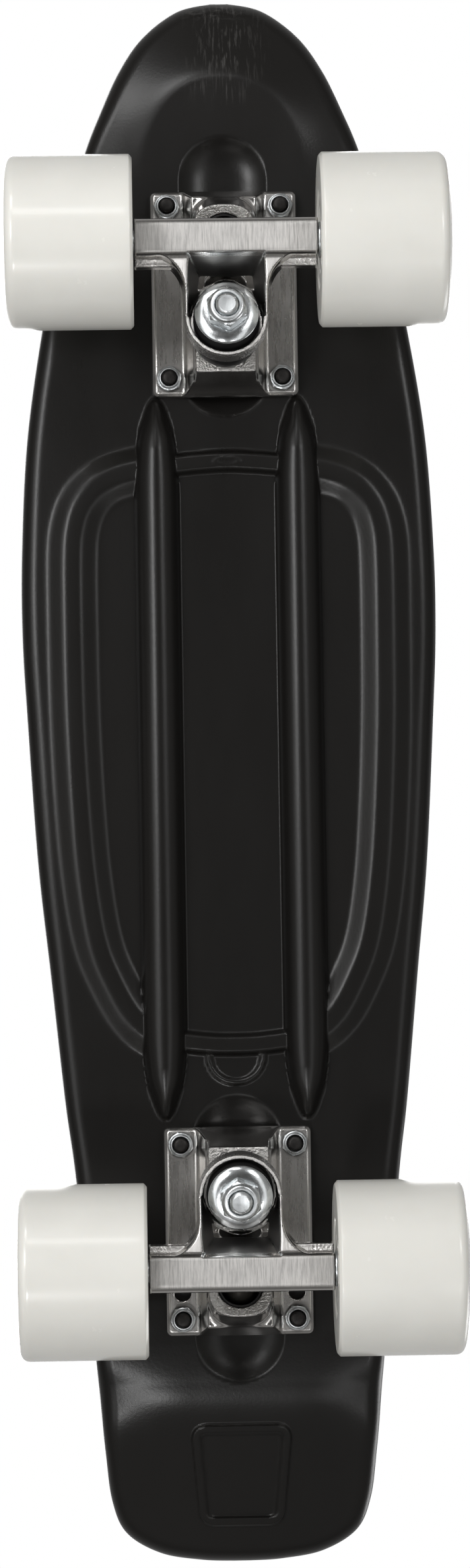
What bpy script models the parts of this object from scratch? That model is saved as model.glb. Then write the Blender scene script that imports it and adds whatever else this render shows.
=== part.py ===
"""Small plastic cruiser skateboard, standing on its four wheels.

Frame: +Z up, +Y toward the nose, X across the board.  The origin lies on the
ground under the middle of the board.  All sizes below are millimetres and are
turned into metres as the meshes are made.
"""
import bpy
import bmesh
from math import sin, cos, pi, sqrt, radians
from mathutils import Vector, Matrix

MM = 0.001
GAP = 0.3                     # running gap between pieces that touch

# ---------------------------------------------------------------- deck
DECK_HALF_LENGTH = 280.0
DECK_UNDER_Z = 75.0           # height of the flat underside
DECK_THICK = 9.0
EDGE_ROUND = 6.0              # width of the rounded lower edge
NOSE_BEND = (29.0, 43.5, 205.0)   # half axes and centre of the spoon's bend line
NOSE_SLOPE = 0.60
TAIL_BEND_Y = -221.0
TAIL_SLOPE = 0.45
# half outline, tip of the nose to tip of the tail: x, y
OUTLINE = ((3.0, 280.0), (15.5, 276.8), (28.0, 266.5), (36.5, 253.5),
           (43.3, 238.0), (49.5, 221.5), (58.5, 190.0), (65.0, 159.0),
           (70.8, 120.0), (73.2, 80.0), (73.4, 50.0), (72.0, 20.0),
           (69.0, -30.0), (65.0, -70.0), (60.5, -115.0), (57.0, -143.0),
           (51.0, -205.0), (48.2, -238.0), (46.0, -257.0), (41.0, -269.0),
           (29.0, -276.6), (14.5, -279.4), (3.0, -280.0))

RIB_X = 25.0                  # two long half-round ribs
RIB_HALF_WIDTH = 8.0
RIB_HEIGHT = 8.0
RIB_FRONT_Y, RIB_REAR_Y = 133.5, -121.0
RIB_FRONT_TAPER, RIB_REAR_TAPER = 18.0, 28.0

RING_HEIGHT = 3.0             # oval ring moulded under the middle
RING_CREST, RING_BASE = 3.1, 8.6
RING_PATH = ((0.0, 111.3), (19.0, 110.0), (36.0, 107.3), (45.0, 103.5),
             (51.0, 97.0), (54.0, 89.0), (55.2, 78.0), (55.3, 50.0),
             (54.9, 20.0), (53.6, -10.0), (51.6, -36.0), (48.0, -58.5),
             (42.5, -73.0), (35.5, -85.0), (26.0, -92.0), (12.0, -94.6))

RECESS_R = 15.2               # hollow under each truck
RECESS_DEPTH = 4.0
RECESS_FRONT = (127.4, 227.0)
RECESS_REAR = (-213.0, -113.4)

# ---------------------------------------------------------------- trucks
TRUCK_Y = {"front": 170.5, "rear": -160.5}
BASE_W, BASE_L, BASE_T = 52.0, 73.2, 4.0
BOLT_X, BOLT_Y = 20.0, 30.5   # half spacings of the mounting bolts
BOLT_R = 2.5
HOLE_R = 2.85
SINK_R = 6.0                  # countersink for a bolt's head
SECOND_HOLE_V = 21.5
AXLE_V, AXLE_H = 11.2, 45.0   # outboard of the base plate's middle, below the deck
AXLE_R = 4.0
AXLE_HALF = 76.6
HANGER_HALF = 31.6
KING_V0 = -19.8               # where the kingpin's axis meets the deck
KING_TILT = radians(9.0)
KING_R = 4.0
PIVOT_V, PIVOT_H = 19.8, 12.7
PIVOT_TILT = radians(26.6)   # the pivot housing leans inboard by this much
PIVOT_R = 5.8
RING_R, RING_HOLE_R, CUP_R = 14.3, 6.0, 12.7
SEAT_S, RING_S0, CUP_S, RING_S1 = 15.0, 27.0, 31.0, 39.3
WASHER_S, NUT_S, KING_END_S = 42.8, 44.6, 53.0

# ---------------------------------------------------------------- wheels
WHEEL_R, WHEEL_W = 30.0, 45.0
WHEEL_IN = 32.0               # inner face, from the middle of the axle
BEARING_R, BEARING_W, BEARING_BORE = 11.0, 7.0, 4.3


# ================================================================ helpers
for _o in list(bpy.data.objects):
    bpy.data.objects.remove(_o, do_unlink=True)


def material(name, colour, rough, metal=0.0):
    m = bpy.data.materials.new(name)
    m.use_nodes = True
    b = m.node_tree.nodes["Principled BSDF"]
    b.inputs["Base Color"].default_value = (*colour, 1.0)
    b.inputs["Roughness"].default_value = rough
    b.inputs["Metallic"].default_value = metal
    return m


M_DECK = material("deck_plastic", (0.012, 0.012, 0.013), 0.38)
M_CAST = material("polished_aluminium", (0.80, 0.80, 0.81), 0.22, 1.0)
M_ZINC = material("zinc_steel", (0.62, 0.62, 0.63), 0.3, 1.0)
M_BLACKSTEEL = material("black_steel", (0.03, 0.03, 0.032), 0.35, 0.8)
M_RUBBER = material("black_rubber", (0.02, 0.02, 0.02), 0.55)
M_WHEEL = material("cream_urethane", (0.80, 0.78, 0.74), 0.3)
M_BEARING = material("bearing_steel", (0.5, 0.5, 0.51), 0.25, 1.0)
M_AXLE = material("steel_axle", (0.55, 0.55, 0.56), 0.3, 1.0)


def as_object(name, bm, mat, keep=True):
    bmesh.ops.remove_doubles(bm, verts=bm.verts, dist=1e-7)
    bmesh.ops.recalc_face_normals(bm, faces=bm.faces)
    me = bpy.data.meshes.new(name)
    bm.to_mesh(me)
    bm.free()
    if mat:
        me.materials.append(mat)
    me.shade_smooth()
    me.set_sharp_from_angle(angle=radians(38))
    ob = bpy.data.objects.new(name, me)
    bpy.context.scene.collection.objects.link(ob)
    return ob


def boolean(ob, tool, operation):
    """Join or cut with a tool, which is removed afterwards."""
    md = ob.modifiers.new("step", "BOOLEAN")
    md.operation = operation
    md.solver = "EXACT"
    md.object = tool
    dg = bpy.context.evaluated_depsgraph_get()
    dg.update()
    me = bpy.data.meshes.new_from_object(ob.evaluated_get(dg))
    ob.modifiers.clear()
    ob.data = me
    bpy.data.objects.remove(tool, do_unlink=True)
    return ob


def frame_vectors(axis):
    """Two directions square to an axis."""
    a = Vector(axis).normalized()
    ref = Vector((1, 0, 0)) if abs(a.x) < 0.9 else Vector((0, 0, 1))
    u = (ref - a * ref.dot(a)).normalized()
    return a, u, a.cross(u)


def lathe(name, profile, origin, axis, segs, mat, closed, phase=0.0):
    """Turn (along, radius) points about an axis.  closed: the profile is a loop
    round a bore.  Otherwise its two ends lie on the axis."""
    a, u, v = frame_vectors(axis)
    o = Vector(origin)
    bm = bmesh.new()
    rings = []
    for s, r in profile:
        if r < 1e-6:
            p = bm.verts.new((o + a * s) * MM)
            rings.append([p] * segs)
        else:
            rings.append([bm.verts.new((o + a * s + (u * cos(t) + v * sin(t)) * r) * MM)
                          for t in (phase + 2 * pi * i / segs for i in range(segs))])
    n = len(rings)
    for k in range(n if closed else n - 1):
        r0, r1 = rings[k], rings[(k + 1) % n]
        for i in range(segs):
            j = (i + 1) % segs
            vs = []
            for q in (r0[i], r0[j], r1[j], r1[i]):
                if q not in vs:
                    vs.append(q)
            if len(vs) > 2:
                bm.faces.new(vs)
    return as_object(name, bm, mat)


def hull(name, points, mat=None):
    bm = bmesh.new()
    for p in points:
        bm.verts.new(Vector(p) * MM)
    bmesh.ops.remove_doubles(bm, verts=bm.verts, dist=1e-6)
    out = bmesh.ops.convex_hull(bm, input=bm.verts)
    loose = [g for g in out["geom_interior"] + out["geom_unused"]
             if isinstance(g, bmesh.types.BMVert)]
    bmesh.ops.delete(bm, geom=list(set(loose)), context="VERTS")
    return as_object(name, bm, mat)


def circle(centre, axis, r, segs, phase=0.0):
    a, u, v = frame_vectors(axis)
    c = Vector(centre)
    return [c + (u * cos(t) + v * sin(t)) * r
            for t in (phase + 2 * pi * i / segs for i in range(segs))]


def catmull(points, per, closed=False):
    """Smooth curve through a few points (Catmull-Rom)."""
    n = len(points)
    out = []
    for i in range(n if closed else n - 1):
        if closed:
            q = [points[(i + d) % n] for d in (-1, 0, 1, 2)]
        else:
            q = [points[max(0, i - 1)], points[i], points[i + 1],
                 points[min(n - 1, i + 2)]]
        for j in range(per):
            t = j / per
            out.append(tuple(
                0.5 * (2 * q[1][c] + (q[2][c] - q[0][c]) * t
                       + (2 * q[0][c] - 5 * q[1][c] + 4 * q[2][c] - q[3][c]) * t * t
                       + (3 * q[1][c] - q[0][c] - 3 * q[2][c] + q[3][c]) * t ** 3)
                for c in range(2)))
    if not closed:
        out.append(points[-1])
    return out


def sweep(name, path, section, closed=True):
    """Carry a closed section of (out, z) points round a flat closed path."""
    bm = bmesh.new()
    n = len(path)
    rows = []
    for i, (x, y) in enumerate(path):
        x0, y0 = path[i - 1]
        x1, y1 = path[(i + 1) % n]
        t = Vector((x1 - x0, y1 - y0)).normalized()
        nx, ny = t.y, -t.x
        rows.append([bm.verts.new(((x + nx * o) * MM, (y + ny * o) * MM, z(x + nx * o, y + ny * o) * MM))
                     for o, z in section])
    m = len(section)
    for i in range(n):
        for k in range(m):
            bm.faces.new((rows[i][k], rows[(i + 1) % n][k],
                          rows[(i + 1) % n][(k + 1) % m], rows[i][(k + 1) % m]))
    return as_object(name, bm, None)


# ================================================================ deck
def rise(x, y):
    """How far the deck's underside has turned up at a point."""
    up = 0.0
    a, b, y0 = NOSE_BEND
    if y > y0:
        q = ((abs(x) / a) ** 2.3 + ((y - y0) / b) ** 2.3) ** (1 / 2.3)
        if q > 1.0:
            r = sqrt(x * x + (y - y0) ** 2)
            d = r * (1 - 1 / q)
            up += NOSE_SLOPE * (sqrt(d * d + 16.0) - 4.0) * ((y - y0) / r) ** 2
    t = TAIL_BEND_Y - y
    soft = 7.0
    if t > -3 * soft:
        f = min(1.0, (t + 3 * soft) / (2 * soft))
        up += TAIL_SLOPE * 0.5 * (t + sqrt(t * t + soft * soft)) * f
    return up


def under(x, y):
    return DECK_UNDER_Z + rise(x, y)


def deck_body():
    ctrl = list(OUTLINE)
    path = catmull([(-3.0, 280.0)] + ctrl + [(-3.0, -280.0)], 2)[2:-2]
    rows = []
    n = len(path)
    for i, (x, y) in enumerate(path):
        x0, y0 = path[i - 1] if i else (-x, y)
        x1, y1 = path[i + 1] if i < n - 1 else (-x, y)
        t = Vector((x1 - x0, y1 - y0)).normalized()
        rows.append((x, y, -t.y, t.x))       # outward normal
    # inward distance and height over the underside
    edge = ((EDGE_ROUND, 0.0), (3.6, 0.5), (1.6, 1.8), (0.4, 3.6), (0.0, 5.4),
            (0.0, 7.4), (0.8, 8.7), (2.2, DECK_THICK))
    cols = 6
    bm = bmesh.new()
    side = {1: [], -1: []}
    for s in (1, -1):
        for x, y, nx, ny in rows:
            ring = []
            for d, h in edge:
                px, py = x - nx * d, y - ny * d
                ring.append(bm.verts.new((s * px * MM, py * MM, (under(px, py) + h) * MM)))
            side[s].append(ring)
    last = len(edge) - 1

    def across(i, k):
        """The row of points from one side to the other at one height."""
        a, b = side[1][i][k], side[-1][i][k]
        row = [a]
        for c in range(1, cols):
            x = a.co.x + (b.co.x - a.co.x) * c / cols
            y = a.co.y
            z = (under(x / MM, y / MM) + edge[k][1]) * MM
            row.append(bm.verts.new((x, y, z)))
        row.append(b)
        return row

    for k in (0, last):
        grid = [across(i, k) for i in range(n)]
        for i in range(n - 1):
            for c in range(cols):
                bm.faces.new((grid[i][c], grid[i][c + 1], grid[i + 1][c + 1], grid[i + 1][c]))
        side[(k, 0)] = grid[0]
        side[(k, n - 1)] = grid[-1]
    for s in (1, -1):
        for i in range(n - 1):
            for k in range(last):
                bm.faces.new((side[s][i][k], side[s][i + 1][k],
                              side[s][i + 1][k + 1], side[s][i][k + 1]))
    for i in (0, n - 1):
        strip = [side[(0, i)]] + [across(i, k) for k in range(1, last)] + [side[(last, i)]]
        for k in range(last):
            for c in range(cols):
                bm.faces.new((strip[k][c], strip[k][c + 1], strip[k + 1][c + 1], strip[k + 1][c]))
    return as_object("deck", bm, M_DECK)


def rib(sx):
    """Half-round rib with bullet ends, sunk 1.5 mm into the deck."""
    segs = 8
    ys = [RIB_FRONT_Y - RIB_FRONT_TAPER * (1 - cos(pi / 2 * i / 4)) for i in range(5)]
    front = [(y, sqrt(max(0.0, 1 - (1 - (RIB_FRONT_Y - y) / RIB_FRONT_TAPER) ** 2))) for y in ys]
    ys = [RIB_REAR_Y + RIB_REAR_TAPER * (1 - cos(pi / 2 * i / 4)) for i in range(5)]
    rear = [(y, sqrt(max(0.0, 1 - (1 - (y - RIB_REAR_Y) / RIB_REAR_TAPER) ** 2))) for y in ys]
    stations = front + rear[::-1]
    bm = bmesh.new()
    rows = []
    for y, f in stations:
        f = max(f, 0.08)
        row = [bm.verts.new(((sx * RIB_X + RIB_HALF_WIDTH * f * cos(pi * i / segs)) * MM, y * MM,
                             (DECK_UNDER_Z - RIB_HEIGHT * f * sin(pi * i / segs)) * MM))
               for i in range(segs + 1)]
        row.append(bm.verts.new(((sx * RIB_X - RIB_HALF_WIDTH * f) * MM, y * MM, (DECK_UNDER_Z + 1.5) * MM)))
        row.append(bm.verts.new(((sx * RIB_X + RIB_HALF_WIDTH * f) * MM, y * MM, (DECK_UNDER_Z + 1.5) * MM)))
        rows.append(row)
    m = len(rows[0])
    for i in range(len(rows) - 1):
        for k in range(m):
            bm.faces.new((rows[i][k], rows[i + 1][k], rows[i + 1][(k + 1) % m], rows[i][(k + 1) % m]))
    bm.faces.new(rows[0])
    bm.faces.new(rows[-1])
    return as_object("rib", bm, None)


def level(h):
    """A height over the underside, following the deck's turn-up."""
    return lambda x, y: under(x, y) + h


def obround(y0, y1, r, z, segs=8):
    pts = []
    for i in range(segs + 1):
        t = pi * i / segs
        pts.append((r * cos(t), y1 - RECESS_R + r * sin(t), z))
        pts.append((r * cos(t), y0 + RECESS_R - r * sin(t), z))
    return pts


deck = deck_body()
for s in (1, -1):
    boolean(deck, rib(s), "UNION")

ring_half = list(RING_PATH)
ring_loop = ring_half + [(0.0, -95.2)] + [(-x, y) for x, y in reversed(ring_half[1:])]
ring_path = [p for i, p in enumerate(catmull(ring_loop, 2, closed=True))]
ring_section = ((-RING_BASE, level(0.05)), (-RING_CREST, level(-RING_HEIGHT)),
                (RING_CREST, level(-RING_HEIGHT)), (RING_BASE, level(0.05)),
                (RING_BASE * 0.6, level(1.2)), (-RING_BASE * 0.6, level(1.2)))
boolean(deck, sweep("ring", ring_path, ring_section), "UNION")

# small D-shaped ridge behind the ring
D_HALF, D_END, D_R = 9.3, -108.0, 4.0
d_path = [(D_HALF, -96.0), (D_HALF, D_END + D_R)]
d_path += [(D_HALF - D_R + D_R * cos(t), D_END + D_R - D_R * sin(t)) for t in (pi / 8, pi / 4, 3 * pi / 8)]
d_path += [(D_HALF - D_R, D_END)]
d_path = d_path + [(-x, y) for x, y in reversed(d_path)]
boolean(deck, sweep("d_ridge", d_path, ((-1.2, level(0.6)), (-0.7, level(-1.2)),
                                        (0.7, level(-1.2)), (1.2, level(0.6)))), "UNION")

# raised rounded frame on the tail
F_TOP, F_BOT, F_Y0, F_Y1, F_R = 16.2, 13.4, -230.5, -264.5, 4.0


def rounded(points, r, steps=3):
    out = []
    n = len(points)
    for i in range(n):
        p = Vector(points[i])
        a = (Vector(points[i - 1]) - p).normalized()
        b = (Vector(points[(i + 1) % n]) - p).normalized()
        for j in range(steps + 1):
            t = j / steps
            p0, p2 = p + a * r, p + b * r
            q = p0 * (1 - t) ** 2 + p * 2 * t * (1 - t) + p2 * t * t
            out.append((q.x, q.y))
    return out


frame_path = rounded([(F_TOP, F_Y0), (F_BOT, F_Y1), (-F_BOT, F_Y1), (-F_TOP, F_Y0)], F_R)
boolean(deck, sweep("tail_frame", frame_path, ((-1.9, level(0.8)), (-1.4, level(-1.4)),
                                               (1.4, level(-1.4)), (1.9, level(0.8)))), "UNION")

for y0, y1 in (RECESS_FRONT, RECESS_REAR):
    pts = obround(y0, y1, RECESS_R + 0.6, DECK_UNDER_Z - 0.6) + \
        obround(y0, y1, RECESS_R - 5.0, DECK_UNDER_Z + RECESS_DEPTH)
    boolean(deck, hull("recess", pts), "DIFFERENCE")

top_z = DECK_UNDER_Z + DECK_THICK
for name, yc in TRUCK_Y.items():
    for sx in (1, -1):
        for sy in (1, -1):
            prof = ((-2.0, 0.0), (-2.0, HOLE_R), (DECK_THICK - 3.6, HOLE_R),
                    (DECK_THICK - 0.3, SINK_R), (DECK_THICK + 2.0, SINK_R), (DECK_THICK + 2.0, 0.0))
            tool = lathe("hole", prof, (sx * BOLT_X, yc + sy * BOLT_Y, DECK_UNDER_Z),
                         (0, 0, 1), 16, None, False)
            boolean(deck, tool, "DIFFERENCE")


# ================================================================ trucks
def truck(name):
    yc = TRUCK_Y[name]
    d = 1.0 if name == "front" else -1.0      # outboard direction

    def W(x, v, h):
        """Truck place: across, outboard, below the deck."""
        return Vector((d * x, yc + d * v, DECK_UNDER_Z - h))

    def D(x, v, h):
        return Vector((d * x, d * v, -h))

    king = (sin(KING_TILT), cos(KING_TILT))                   # v, h per mm
    kaxis = D(0, *king)
    korg = W(0, KING_V0, 0)

    def K(s):
        return (KING_V0 + king[0] * s, king[1] * s)

    ring_mid = K((RING_S0 + RING_S1) / 2)
    square = (cos(KING_TILT), -sin(KING_TILT))                # v, h square to the kingpin
    sv, sh = ring_mid[0] - PIVOT_V, ring_mid[1] - PIVOT_H
    ln = sqrt(sv * sv + sh * sh)
    sv, sh = sv / ln, sh / ln
    saxis = D(0, sv, sh)
    pivot = W(0, PIVOT_V, PIVOT_H)
    paxis = D(0, -sin(PIVOT_TILT), cos(PIVOT_TILT))           # out of the pivot housing

    # ---- base plate: flange, spine, bushing seat and pivot housing
    r = 2.5
    outline = rounded([(BASE_W / 2, BASE_L / 2), (-BASE_W / 2, BASE_L / 2),
                       (-BASE_W / 2, -BASE_L / 2), (BASE_W / 2, -BASE_L / 2)], r)
    base = hull(name + "_baseplate",
                [W(x, v, h) for x, v in outline for h in (GAP, GAP + BASE_T)], M_CAST)
    spine = [W(x, v, 3.0) for x in (-14.2, 14.2) for v in (-35.6, 30.0)]
    spine += [W(x, v, h) for x in (-11.0, 11.0) for v, h in ((-29.4, 12.6), (18.0, 11.6))]
    boolean(base, hull("spine", spine), "UNION")
    seat_mid = K(SEAT_S)
    seat = [W(x, seat_mid[0] + square[0] * t, seat_mid[1] + square[1] * t) for x in (-11.0, 11.0) for t in (-12.3, 12.0)]
    seat += [W(x, v, 3.4) for x in (-13.8, 13.8) for v in (-35.2, 0.0)]
    boolean(base, hull("seat", seat), "UNION")
    house = circle(pivot + paxis * 2.0, paxis, 11.0, 20) + circle(pivot - paxis * 7.0, paxis, 11.4, 20) \
        + [W(x, v, 3.0) for x in (-12.5, 12.5) for v in (8.0, 35.8)]
    boolean(base, hull("housing", house), "UNION")
    block = hull("deck_side", [W(x, v, h) for x in (-40, 40) for v in (-50, 50) for h in (GAP, -20)])
    boolean(base, block, "DIFFERENCE")
    # bore for the pivot cup
    boolean(base, lathe("bore", ((-7.6, 0), (-7.6, 8.0), (14.0, 8.0), (14.0, 0)),
                        pivot, paxis, 20, None, False), "DIFFERENCE")
    # pocket for the kingpin's head, and its hole
    boolean(base, lathe("bore", ((-9.0, 0), (-9.0, 8.6), (7.3, 8.6), (7.3, KING_R + GAP), (30.0, KING_R + GAP), (30.0, 0)),
                        korg, kaxis, 16, None, False), "DIFFERENCE")
    holes = [(sx * BOLT_X, sy * BOLT_Y) for sx in (1, -1) for sy in (1, -1)]
    for x, v in holes + [(BOLT_X, SECOND_HOLE_V), (-BOLT_X, SECOND_HOLE_V)]:
        boolean(base, lathe("hole", ((-3, 0), (-3, HOLE_R), (9, HOLE_R), (9, 0)),
                            W(x, v, 0), (0, 0, -1), 12, None, False), "DIFFERENCE")

    # ---- pivot cup
    lathe(name + "_pivot_cup",
          ((-7.2, 0.0), (-7.2, 7.65), (1.9, 7.65), (1.9, 6.7), (0.0, 6.4), (-2.6, 5.9), (-4.9, 4.4), (-6.2, 2.4), (-6.3, 0.0)),
          pivot, paxis, 16, M_RUBBER, False)

    # ---- kingpin, its head in the base plate
    lathe(name + "_kingpin",
          ((1.9, 0), (1.9, 7.0), (7.0, 7.0), (7.0, KING_R), (KING_END_S - 0.8, KING_R), (KING_END_S, KING_R - 0.8), (KING_END_S, 0)),
          korg, kaxis, 12, M_ZINC, False)

    # ---- bushings, cup washer and nut
    b = KING_R + 0.6
    lathe(name + "_bushing_board",
          ((SEAT_S + GAP, b), (SEAT_S + GAP, 11.0), (SEAT_S + 2.2, 11.8), (RING_S0 - 2.2, 11.8), (RING_S0 - GAP, 11.0), (RING_S0 - GAP, b)),
          korg, kaxis, 16, M_RUBBER, True)
    lathe(name + "_bushing_road",
          ((CUP_S + GAP, b), (CUP_S + GAP, 11.4), (CUP_S + 5.0, 11.6), (WASHER_S - GAP, 9.4), (WASHER_S - GAP, b)),
          korg, kaxis, 16, M_RUBBER, True)
    lathe(name + "_cup_washer",
          ((WASHER_S, KING_R + GAP), (WASHER_S, 9.9), (WASHER_S - 1.4, 10.6), (WASHER_S - 1.2, 11.1),
           (WASHER_S + 0.4, 11.0), (WASHER_S + 1.5, 10.0), (WASHER_S + 1.5, KING_R + GAP)),
          korg, kaxis, 16, M_ZINC, True)
    lathe(name + "_kingpin_nut",
          ((NUT_S, KING_R + 0.9), (NUT_S, 7.2), (NUT_S + 0.5, 7.5), (NUT_S + 5.2, 7.5), (NUT_S + 5.7, 6.6), (NUT_S + 7.0, 6.2), (NUT_S + 7.0, KING_R + 0.9)),
          korg, kaxis, 6, M_ZINC, True)

    # ---- hanger: axle bar, cup round the kingpin, two arms, web and pivot nose
    bar = [W(x, v, h) for x in (-HANGER_HALF, HANGER_HALF) for v, h in (
        (2.2, 39.2), (2.2, 43.2), (6.1, 51.2), (16.7, 51.2), (18.6, 49.2), (18.6, 41.0), (16.4, 38.6))]
    hang = hull(name + "_hanger", bar, M_CAST)
    cup = circle(korg + kaxis * RING_S0, kaxis, RING_R, 24) + circle(korg + kaxis * RING_S1, kaxis, RING_R, 24)
    boolean(hang, hull("cup", cup), "UNION")
    for s in (1, -1):
        arm = [W(s * x, v, h) for x, v, h in (
            (12.9, -13.0, 28.0), (14.2, -13.0, 28.0), (12.9, -13.0, 39.0), (14.2, -13.0, 39.0),
            (12.9, 6.0, 39.4), (24.0, 5.0, 39.4), (12.9, 6.5, 49.6), (22.0, 7.0, 49.6))]
        boolean(hang, hull("arm", arm), "UNION")
    web = [W(x, v, h) for x in (-13.5, 13.5) for v, h in (
        (7.2, 49.4), (1.0, 33.2), (-3.0, 31.6), (-3.0, 27.4), (14.0, 38.9), (14.0, 49.0))]
    boolean(hang, hull("web", web), "UNION")
    nose = circle(pivot + saxis * 3.2, saxis, 4.0, 14) + circle(pivot + saxis * 20.0, saxis, 7.2, 14) \
        + [W(x, AXLE_V + 2.0, AXLE_H - 4.0) for x in (-7.0, 7.0)]
    boolean(hang, hull("nose", nose), "UNION")
    tip = circle(pivot + saxis * 4.0, saxis, 4.0, 12) + circle(pivot + saxis * 2.4, saxis, 5.2, 12) \
        + circle(pivot, saxis, PIVOT_R, 12) + circle(pivot - saxis * 2.6, saxis, 5.1, 12) + circle(pivot - saxis * 4.8, saxis, 2.8, 12)
    boolean(hang, hull("tip", tip), "UNION")
    boolean(hang, lathe("bore", ((15, 0), (15, RING_HOLE_R), (CUP_S, RING_HOLE_R), (CUP_S, CUP_R), (62, CUP_R), (62, 0)),
                        korg, kaxis, 22, None, False), "DIFFERENCE")
    boolean(hang, lathe("bore", ((-60, 0), (-60, AXLE_R + GAP), (60, AXLE_R + GAP), (60, 0)),
                        W(0, AXLE_V, AXLE_H), (1, 0, 0), 16, None, False), "DIFFERENCE")

    # ---- axle
    axle_c = W(0, AXLE_V, AXLE_H)
    lathe(name + "_axle",
          ((-AXLE_HALF, 0), (-AXLE_HALF, AXLE_R - 0.8), (-AXLE_HALF + 0.8, AXLE_R), (AXLE_HALF - 0.8, AXLE_R), (AXLE_HALF, AXLE_R - 0.8), (AXLE_HALF, 0)),
          axle_c, (1, 0, 0), 12, M_AXLE, False)

    # ---- wheels, bearings, speed washers and axle nuts
    for side, sx in (("right", 1.0), ("left", -1.0)):
        at, ax = axle_c, (sx, 0, 0)
        x0, x1 = WHEEL_IN, WHEEL_IN + WHEEL_W
        pocket_in, pocket_out = x0 + 1.0 + BEARING_W + GAP, x1 - 8.0 - BEARING_W - GAP
        pr = BEARING_R + GAP
        lathe("%s_%s_wheel" % (name, side),
              ((x0, 12.4), (x0, 28.2), (x0 + 1.8, WHEEL_R),
               (x1 - 6.0, WHEEL_R), (x1 - 2.6, 28.8), (x1 - 1.0, 25.6), (x1, 17.0),
               (x1 - 8.0, pr), (pocket_out, pr), (pocket_out, 7.6),
               (pocket_in, 7.6), (pocket_in, pr)),
              at, ax, 30, M_WHEEL, True)
        for where, a0 in (("inner", x0 + 1.0), ("outer", x1 - 8.0 - BEARING_W)):
            lathe("%s_%s_bearing_%s" % (name, side, where),
                  ((a0, BEARING_BORE), (a0, BEARING_R), (a0 + BEARING_W, BEARING_R), (a0 + BEARING_W, BEARING_BORE)),
                  at, ax, 16, M_BEARING, True)
        lathe("%s_%s_washer_inner" % (name, side),
              ((HANGER_HALF + GAP, 4.4), (HANGER_HALF + GAP, 6.2), (x0 + 0.7, 6.2), (x0 + 0.7, 4.4)),
              at, ax, 12, M_ZINC, True)
        o = x1 - 8.0 + GAP
        lathe("%s_%s_washer_outer" % (name, side),
              ((o, 4.4), (o, 6.2), (o + 0.9, 6.2), (o + 0.9, 4.4)), at, ax, 12, M_ZINC, True)
        o += 0.9 + GAP
        lathe("%s_%s_axle_nut" % (name, side),
              ((o, AXLE_R + 0.9), (o, 7.1), (o + 0.4, 7.5), (o + 4.4, 7.5), (o + 4.9, 6.6), (o + 6.2, 6.2), (o + 6.2, AXLE_R + 0.9)),
              at, ax, 6, M_ZINC, True)

    # ---- mounting bolts, heads sunk in the deck, and their nuts
    for i, (x, v) in enumerate(holes, 1):
        lathe("%s_bolt_%d" % (name, i),
              ((-DECK_THICK + 0.35, 0), (-DECK_THICK + 0.35, 4.9), (-DECK_THICK + 0.9, 4.9),
               (-DECK_THICK + 3.2, BOLT_R), (11.8, BOLT_R), (11.8, 0)),
              W(x, v, 0), (0, 0, -1), 10, M_BLACKSTEEL, False)
        n0 = GAP + BASE_T + GAP
        lathe("%s_nut_%d" % (name, i),
              ((n0, BOLT_R + 0.7), (n0, 4.3), (n0 + 0.3, 4.6), (n0 + 3.3, 4.6), (n0 + 3.7, 4.0), (n0 + 4.8, 3.75), (n0 + 4.8, BOLT_R + 0.7)),
              W(x, v, 0), (0, 0, -1), 6, M_ZINC, True)
    return saxis, pivot


for truck_name in ("front", "rear"):
    axis, point = truck(truck_name)
    print("STEER", truck_name, [round(c, 5) for c in axis], [round(c * MM, 6) for c in point])
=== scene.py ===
"""Looks of a small plastic cruiser skateboard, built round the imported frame.
Lengths in the shape code are millimetres; meshes are written in metres."""
from math import pi, sin, cos, sqrt, radians

import bpy
import numpy as np
from mathutils import Matrix, Vector


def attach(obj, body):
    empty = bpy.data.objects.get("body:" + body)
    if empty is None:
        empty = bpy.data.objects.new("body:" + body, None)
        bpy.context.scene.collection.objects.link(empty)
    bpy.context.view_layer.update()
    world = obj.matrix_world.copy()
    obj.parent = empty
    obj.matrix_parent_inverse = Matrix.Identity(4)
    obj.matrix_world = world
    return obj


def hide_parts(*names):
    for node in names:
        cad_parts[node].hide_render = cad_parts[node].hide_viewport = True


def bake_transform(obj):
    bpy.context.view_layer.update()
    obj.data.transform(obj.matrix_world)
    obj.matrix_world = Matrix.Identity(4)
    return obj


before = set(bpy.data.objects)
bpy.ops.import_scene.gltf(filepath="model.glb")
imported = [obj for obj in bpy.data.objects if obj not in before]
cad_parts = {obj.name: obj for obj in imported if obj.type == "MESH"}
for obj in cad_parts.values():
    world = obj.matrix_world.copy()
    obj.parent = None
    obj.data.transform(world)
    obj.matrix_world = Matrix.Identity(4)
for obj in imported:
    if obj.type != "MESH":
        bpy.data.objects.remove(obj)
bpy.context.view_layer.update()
scene = bpy.context.scene
MM = 0.001

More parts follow.
